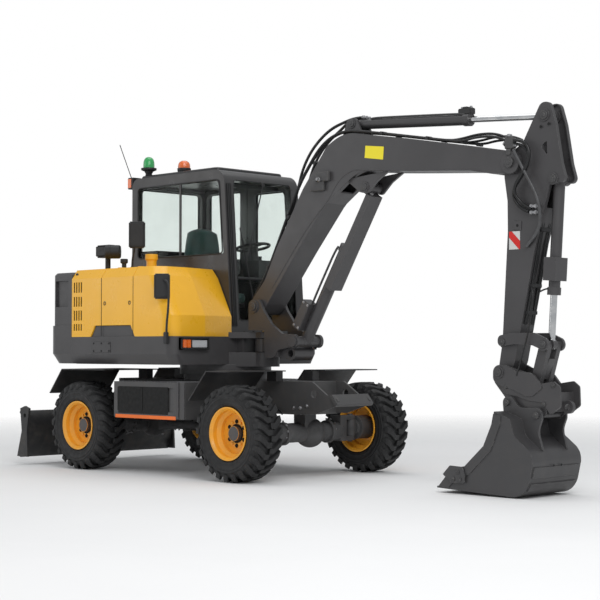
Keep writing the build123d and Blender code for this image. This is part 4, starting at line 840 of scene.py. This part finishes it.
# ---- chassis ----
def make_chassis():
    # Side boxes: orange strip, lids, posts and the treads on top
    for name, side in SIDES:
        def block(x, out, z):
            return span(x, [side * (BODY_SIDE + y) for y in out], z)

        strip = block((-480, 372), (0, 3), (509, 541))
        boxes("box_strip_" + name, "chassis", "orange_paint", [strip], 0.8)
        boxes("box_lids_" + name, "chassis", "black_and_painted_shade", [
            block(x, (-0.5, 1.5), (552, 796)) for x in ((-440, -92), (-86, 262))], 0.6)
        boxes("box_posts_" + name, "chassis", "charcoal_paint", [
            block(x, (0, 8), (517, 838)) for x in ((375, 412), (452, 492))], 2)
        boxes("tread_ribs_" + name, "chassis", "zinc", [
            span((x, x + 10), (side * BODY_SIDE * 0.7, side * BODY_SIDE * 0.98), (840, 846))
            for x in range(-450, 440, 45)], 1)
    # Bolts on the side plates
    bolts("plate_bolts", "chassis", "zinc", [
        (at(x, y, z), out) for y, out in both(210)
        for x, z in ((1120, 620), (1200, 620), (1280, 640), (-1200, 620), (-1110, 620))], 22, 13)
    # Axle castings: bolted covers and drain plugs
    for x, name in ((1050, "front"), (-1050, "rear")):
        bolts("axle_bolts_" + name, "chassis", "zinc", [
            (at(x + a, y, 415 + b), out) for a, b in ring(10, 90) for y, out in both(301)], 14, 9)
        lathe("drain_plug_" + name, "chassis", "zinc", (
            (18, 0), (18, 6), (12, 8), (12, 14), (0, 14)), at(x + 60, 60, 302), (0, 0, -1), 6)
    # Brake pipes along the frame
    route = ((-900, 1.12, 640), (-600, 1.13, 600), (0, 1.13, 590), (600, 1.13, 600),
             (900, 1.12, 640), (1000, 1.2, 560))
    for k, y in enumerate((-196, 196)):
        tube("brake_pipe_%d" % k, "chassis", "hose",
             [at(x, y * spread, z) for x, spread, z in route], 8)
    # Blade: cutting edge with its bolts, pins of the arms and the cylinder
    boxes("cutting_edge", "blade", "worn_steel", (((-1986, -948, 80), (-1966, 948, 160)),), 3)
    bolts("edge_bolts", "blade", "zinc", [
        (at(-1966, y, 118), (1, 0, 0)) for y in range(-860, 900, 172)], 18, 10)
    pins("blade_pins", "chassis", [(-1365, 286, 470, 26)], "zinc")
    pins("blade_cylinder_pins", "chassis", [(-1405, 70, 705, 30)], "zinc")


# ---- working gear ----
def along(cylinder, distance, across=0.0):
    """X and Z some way from a cylinder's base pin to its eye, and to the left."""
    start, end = (Vector(pin) for pin in CYLINDERS[cylinder][:2])
    step = (end - start).normalized()
    return start + step * distance + Vector((-step.y, step.x)) * across


def beside(cylinder, y, steps):
    """Places beside a cylinder: steps of (distance, across)."""
    return [at(spot.x, y, spot.y) for spot in (along(cylinder, *step) for step in steps)]


def make_boom():
    top = ((505, 1600), (640, 1765), (800, 2055), (1050, 2540), (1190, 2735), (1375, 2940),
           (1610, 3030), (1900, 2992), (2359, 2908), (2800, 2828), (2960, 2804), (3110, 2824),
           (3300, 2812), (3386, 2770))
    for k, (y, lift) in enumerate(((-114, 0), (-90, 26), (90, 26), (114, 0))):
        route = [at(x - lift * 0.5 * (z < 2900), y * (1.2 if x > 2900 else 1),
                    z + lift * (x > 2900)) for x, z in top]
        tube("boom_hose_%d" % k, "boom", "hose", route, 10.5)
    # Two feeds that arch off the rear edge to the arm cylinder's base
    arch = ((930, 2340), (1015, 2540), (1075, 2730), (1175, 2880), (1300, 2990), (1440, 3070),
            (1560, 3118), (1680, 3140), (1775, 3136))
    for k, y in enumerate((-20, 20)):
        route = [at(x, y * 3 if x < 1500 else y, z) for x, z in arch]
        tube("arm_feed_%d" % k, "boom", "hose", route, 13)
        lathe("arm_feed_union_%d" % k, "boom", "zinc", (
            (0, 0), (15, 0), (17, 3), (17, 22), (13, 26), (13, 52), (0, 52)),
            at(1768, y, 3138), (1, 0, -0.15), 24)
    clamps = ((700, 1880, 60), (960, 2315, 57), (1290, 2770, 50), (2080, 2958, -10),
              (2580, 2868, -10), (2950, 2800, -10))
    for k, (x, z, lean) in enumerate(clamps):
        for name, side in SIDES:
            turn = Matrix.Rotation(radians(-lean), 4, "Y")
            turned_block("hose_clamp_%d_%s" % (k, name), "boom", "black_plastic",
                         (34, 62, 30), Matrix.Translation(at(x, side * 101, z)) @ turn, 4)
    # Manifolds on the tip's two sides, with their unions
    for name, side in SIDES:
        y = (side * 100, side * 148)
        boxes("tip_manifold_" + name, "boom", "cast", (
            span((3386, 3470), y, (2700, 2796)), span((3400, 3440), y, (2650, 2704))), 5)
        bolts("manifold_unions_" + name, "boom", "zinc", [
            (at(x, side * y, z), direction) for x, y, z, direction in (
                (3386, 114, 2765, (-1, 0, 0.3)), (3386, 132, 2740, (-1, 0, 0.3)),
                (3470, 124, 2725, (1, 0, 0)), (3470, 124, 2762, (1, 0, 0)),
                (3420, 112, 2796, (0, 0, 1)), (3420, 136, 2796, (0, 0, 1)))], 26, 20)
    # Slack loops from the tip to the arm's face
    loop = ((3480, 2762), (3570, 2752), (3628, 2680), (3622, 2585), (3560, 2495), (3492, 2420),
            (3478, 2345), (3520, 2275), (3590, 2232), (3622, 2222))
    for k in range(2):
        route = [at(x - 26 * k, -150 + 22 * k if z > 2300 else -118, z - 24 * k) for x, z in loop]
        hose = tube("arm_loop_%d" % k, None, "hose", route, 12.5)
        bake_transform(hose)
    route = [at(*place) for place in (
        (3470, -142, 2690), (3549, -150, 2560), (3642, -150, 2407), (3692, -145, 2312),
        (3712, -135, 2212), (3704, -120, 2098), (3649, -104, 2010), (3560, -100, 1930))]
    hose = tube("arm_wrapped_loop", None, "wrapped_hose", route, 12.5)
    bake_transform(hose)
    fittings = bmesh.new()
    for z in (2240, 2192):
        add_lathe(fittings, (
            (0, 0), (17, 0), (17, 18), (12, 20), (12, 44), (19, 46), (19, 60), (11, 62), (11, 72),
            (0, 72)), at(3610, -112, z), (1, 0, -0.05), 24)
    keep(fittings, "arm_loop_fittings", "arm", "zinc")
    # Valve block on the bend's right side
    boxes("bend_valve", "boom", "cast", (
        ((1262, -156, 2520), (1425, -126, 2622)), ((1330, -162, 2600), (1490, -126, 2684))), 6)
    lathe("bend_valve_knob", "boom", "zinc", (
        (19, 0), (19, 20), (13, 24), (13, 40), (0, 42)), at(1390, -160, 2617), (0, -1, 0))
    # Weld seams along the lower edge
    low_edge = ((760, 1690), (1094, 2090), (1300, 2300), (1450, 2420), (1542, 2545), (1615, 2618),
                (1741, 2672), (1830, 2668), (2196, 2629), (3134, 2560))
    for name, side in SIDES:
        route = [at(x, side * 125, z) for x, z in low_edge]
        tube("weld_" + name, "boom", "charcoal_paint", route, 3.5)
    plate("label_blank", "boom", "label_paint", (
        (1888, 2765), (2099, 2732), (2108, 2842), (1898, 2869)), -125.4, -126.6, 0.3)
    pins("boom_pins", "boom", (
        (3430, 149, 2592, 40), (560, 183, 1522, 40), (1870, 112, 2520, 32), (1690, 80, 3086, 32)))
    # Hard pipes and a valve block on the arm cylinder's barrel
    for name, side in SIDES:
        run = beside("arm", side * 30, (
            (185, 40), (215, 47), (500, 48), (1100, 48), (1190, 44), (1215, 36)))
        tube("arm_pipe_" + name, "arm_cylinder", "pipe_paint", run, 8.5)
    x, z = along("arm", 1205)
    boxes("arm_cylinder_block", "arm_cylinder", "dark_paint", (
        ((x - 62, -34, z + 40), (x + 70, 34, z + 92)),
        ((x - 20, -30, z + 86), (x + 30, 30, z + 104))), 6)
    bolts("arm_cylinder_block_bolts", "arm_cylinder", "zinc", [
        (at(x + step, 0, z + 92), (0, 0, 1)) for step in (-40, 50)], 22, 16)
    # Pipe and valve box's bolts beside the boom cylinder
    tube("boom_pipe", "boom_cylinder", "pipe_paint",
         beside("boom", -50, ((330, 62), (420, 66), (700, 66), (900, 64), (940, 50))), 10)
    corners = ((110, 56), (110, 114), (340, 56), (340, 114))
    bolts("boom_valve_bolts", "boom_cylinder", "zinc", [
        (spot, (0, -1, 0)) for spot in beside("boom", -110, corners)], 16, 10)


def make_arm():
    pins("arm_pins", "arm", ((3725, 95, 2938, 36), (3803, 95, 2440, 34)))
    pins("rocker_pins", "rocker", ((3331, 117, 1191, 30), (3719, 117, 1171, 32)))
    pins("bucket_pivot_heads", "bucket", [(3318, 153, 955, 34)])
    pins("bucket_pin_heads", "bucket", ((3420, 182, 722, 27), (3700, 182, 632, 27)))
    # Red and white stripes near the arm's top, and the bracket over them
    bands = (((0, 0), (95, 0), (0, 95)),
             ((95, 0), (106, 0), (106, 64), (28, 142), (0, 142), (0, 95)),
             ((106, 64), (106, 142), (28, 142)))
    for name, side in SIDES:
        for k, band in enumerate(bands):
            plate("stripe_%s_%d" % (name, k), "arm", "stripe_red" if k % 2 else "stripe_white",
                  [(3382 + x, 1914 + z) for x, z in band], side * 85.3, side * 86.4, 0.3)
        plate("stripe_bracket_" + name, "arm", "charcoal_paint", (
            (3424, 2068), (3500, 2062), (3506, 2132), (3430, 2138)), side * 85.3, side * 91, 1)
        # Holes in the arm's sides, as thin near-black discs: painted shade inside them
        spots = bmesh.new()
        for x, y, z in ((3466, 91, 2100), (3770, 95, 2865), (3696, 95, 2850)):
            add_lathe(spots, ((0, 0.6), (10, 0.6), (12, 0)), at(x, side * y, z), (0, side, 0), 24)
        keep(spots, "arm_holes_" + name, "arm", "black_and_painted_shade")
    # Hoses down the arm's front face
    face = ((3688, 2180), (3655, 2010), (3590, 1700), (3525, 1395), (3505, 1330))
    for k, y in enumerate((-52, -30, 30, 52)):
        tube("arm_hose_%d" % k, "arm", "hose", [at(x, y, z) for x, z in face], 9.5)
    for k, (x, z) in enumerate(((3664, 2060), (3572, 1630), (3528, 1420))):
        boxes("arm_clamp_%d" % k, "arm", "black_plastic", (
            ((x - 26, -68, z - 16), (x + 14, 68, z + 16)),), 4)
    # Two thin hoses that arch past the rocker to the coupler
    arch = ((3572, 60, 1585), (3600, 96, 1612), (3634, 134, 1602), (3650, 142, 1540),
            (3634, 142, 1400), (3598, 142, 1250), (3558, 142, 1120), (3524, 142, 1020),
            (3500, 142, 960), (3490, 142, 930))
    for k, side in enumerate((-1, 1)):
        route = [at(x, side * y, z) for x, y, z in arch]
        hose = tube("coupler_hose_%d" % k, None, "hose", route, 6.5)
        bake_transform(hose)
    pins("coupler_bolts", "bucket", (
        (3384, 136, 846, 19), (3828, 136, 861, 19), (3741, 136, 714, 19)))


def make_bucket():
    # Two small holes in the wrapper, as thin near-black discs: painted shade inside the holes
    hole_shade_discs = bmesh.new()
    for y in (-60, 40):
        add_lathe(hole_shade_discs, ((9, 0), (9, 2), (0, 2)), at(3776, y, 250), (1, 0, 0), 20)
    keep(hole_shade_discs, "bucket_hole_shades", "bucket", "black_and_painted_shade")
    # Bolted corner plates by the cutting edge
    corner = ((2913, 150), (2984, 221), (3113, 216), (3136, 155), (3132, 90), (3003, 85))
    for name, side in SIDES:
        plate("corner_plate_" + name, "bucket", "worn_steel", corner, side * 328, side * 342, 2)
        pin_heads("corner_bolts_" + name, "bucket", "pin_paint", [
            (at(x, side * 342, z), (0, side, 0), 16)
            for x, z in ((3067, 174), (3023, 118), (3089, 117))])


# ---- stage ----
def make_floor():
    """A pale floor that fades out before its rim."""
    bpy.ops.mesh.primitive_circle_add(vertices=96, radius=26, fill_type="NGON")
    floor = bpy.context.object
    floor.name = "floor"
    s = Shader("floor")
    s.set(Base_Color=s.vary((0.8, 3), (0.93, 0.93, 0.93), (0.95, 0.95, 0.95)), Roughness=0.85)
    fade = s.ramp(s.vector("LENGTH", s.coords, output="Value"), 5.0, 13.0)
    clear = s.add("BsdfTransparent", 0)
    blend = s.add("MixShader", 0, {0: fade, 1: s.bsdf.outputs[0], 2: clear})
    s.feed(s.tree.nodes["Material Output"].inputs["Surface"], blend)
    floor.data.materials.append(s.material)


def make_world():
    """White behind the object and through its glass, dimmer as light."""
    world = bpy.data.worlds.new("world")
    scene.world = world
    world.use_nodes = True
    world.node_tree.nodes.clear()
    tree = Nodes(world.node_tree)
    lit = tree.add("Background", 0, {"Color": (0.96, 0.98, 1.0), "Strength": 0.54})
    seen = tree.add("Background", 0, {"Color": (1, 1, 1), "Strength": 1.0})
    rays = tree.add("LightPath").outputs
    rays = {0: rays["Is Camera Ray"], 1: rays["Is Transmission Ray"]}
    either = tree.add("Math", 0, rays, operation="MAXIMUM")
    blend = tree.add("MixShader", 0, {0: either, 1: lit, 2: seen})
    tree.add("OutputWorld", None, {"Surface": blend})


def make_lights():
    """Soft boxes: (name, place, aim, width, height, watts)."""
    for name, place, aim, width, height, watts in (
        ("key", (8.0, -5.0, 7.5), (0, 0, 1.2), 6.0, 5.0, 430),
        ("top", (-1.0, 1.0, 9.0), (0, 0, 1.0), 7.0, 7.0, 185),
        ("left", (-8.0, -6.5, 4.0), (0, -0.3, 1.2), 4.0, 5.0, 70),
    ):
        data = bpy.data.lights.new(name, "AREA")
        data.shape = "RECTANGLE"
        data.size = width
        data.size_y = height
        data.energy = watts
        lamp = bpy.data.objects.new(name, data)
        lamp.location = place
        lamp.rotation_euler = (Vector(aim) - Vector(place)).to_track_quat("-Z", "Y").to_euler()
        collection.objects.link(lamp)


make_camera()
dress_frame()
for place in ("front_left", "front_right", "rear_left", "rear_right"):
    make_wheel(place)
make_lamps()
make_cab()
make_seat()
make_hood()
make_mirrors()
make_house()
make_chassis()
make_boom()
make_arm()
make_bucket()
make_floor()
make_world()
make_lights()
scene.view_settings.view_transform = "Standard"
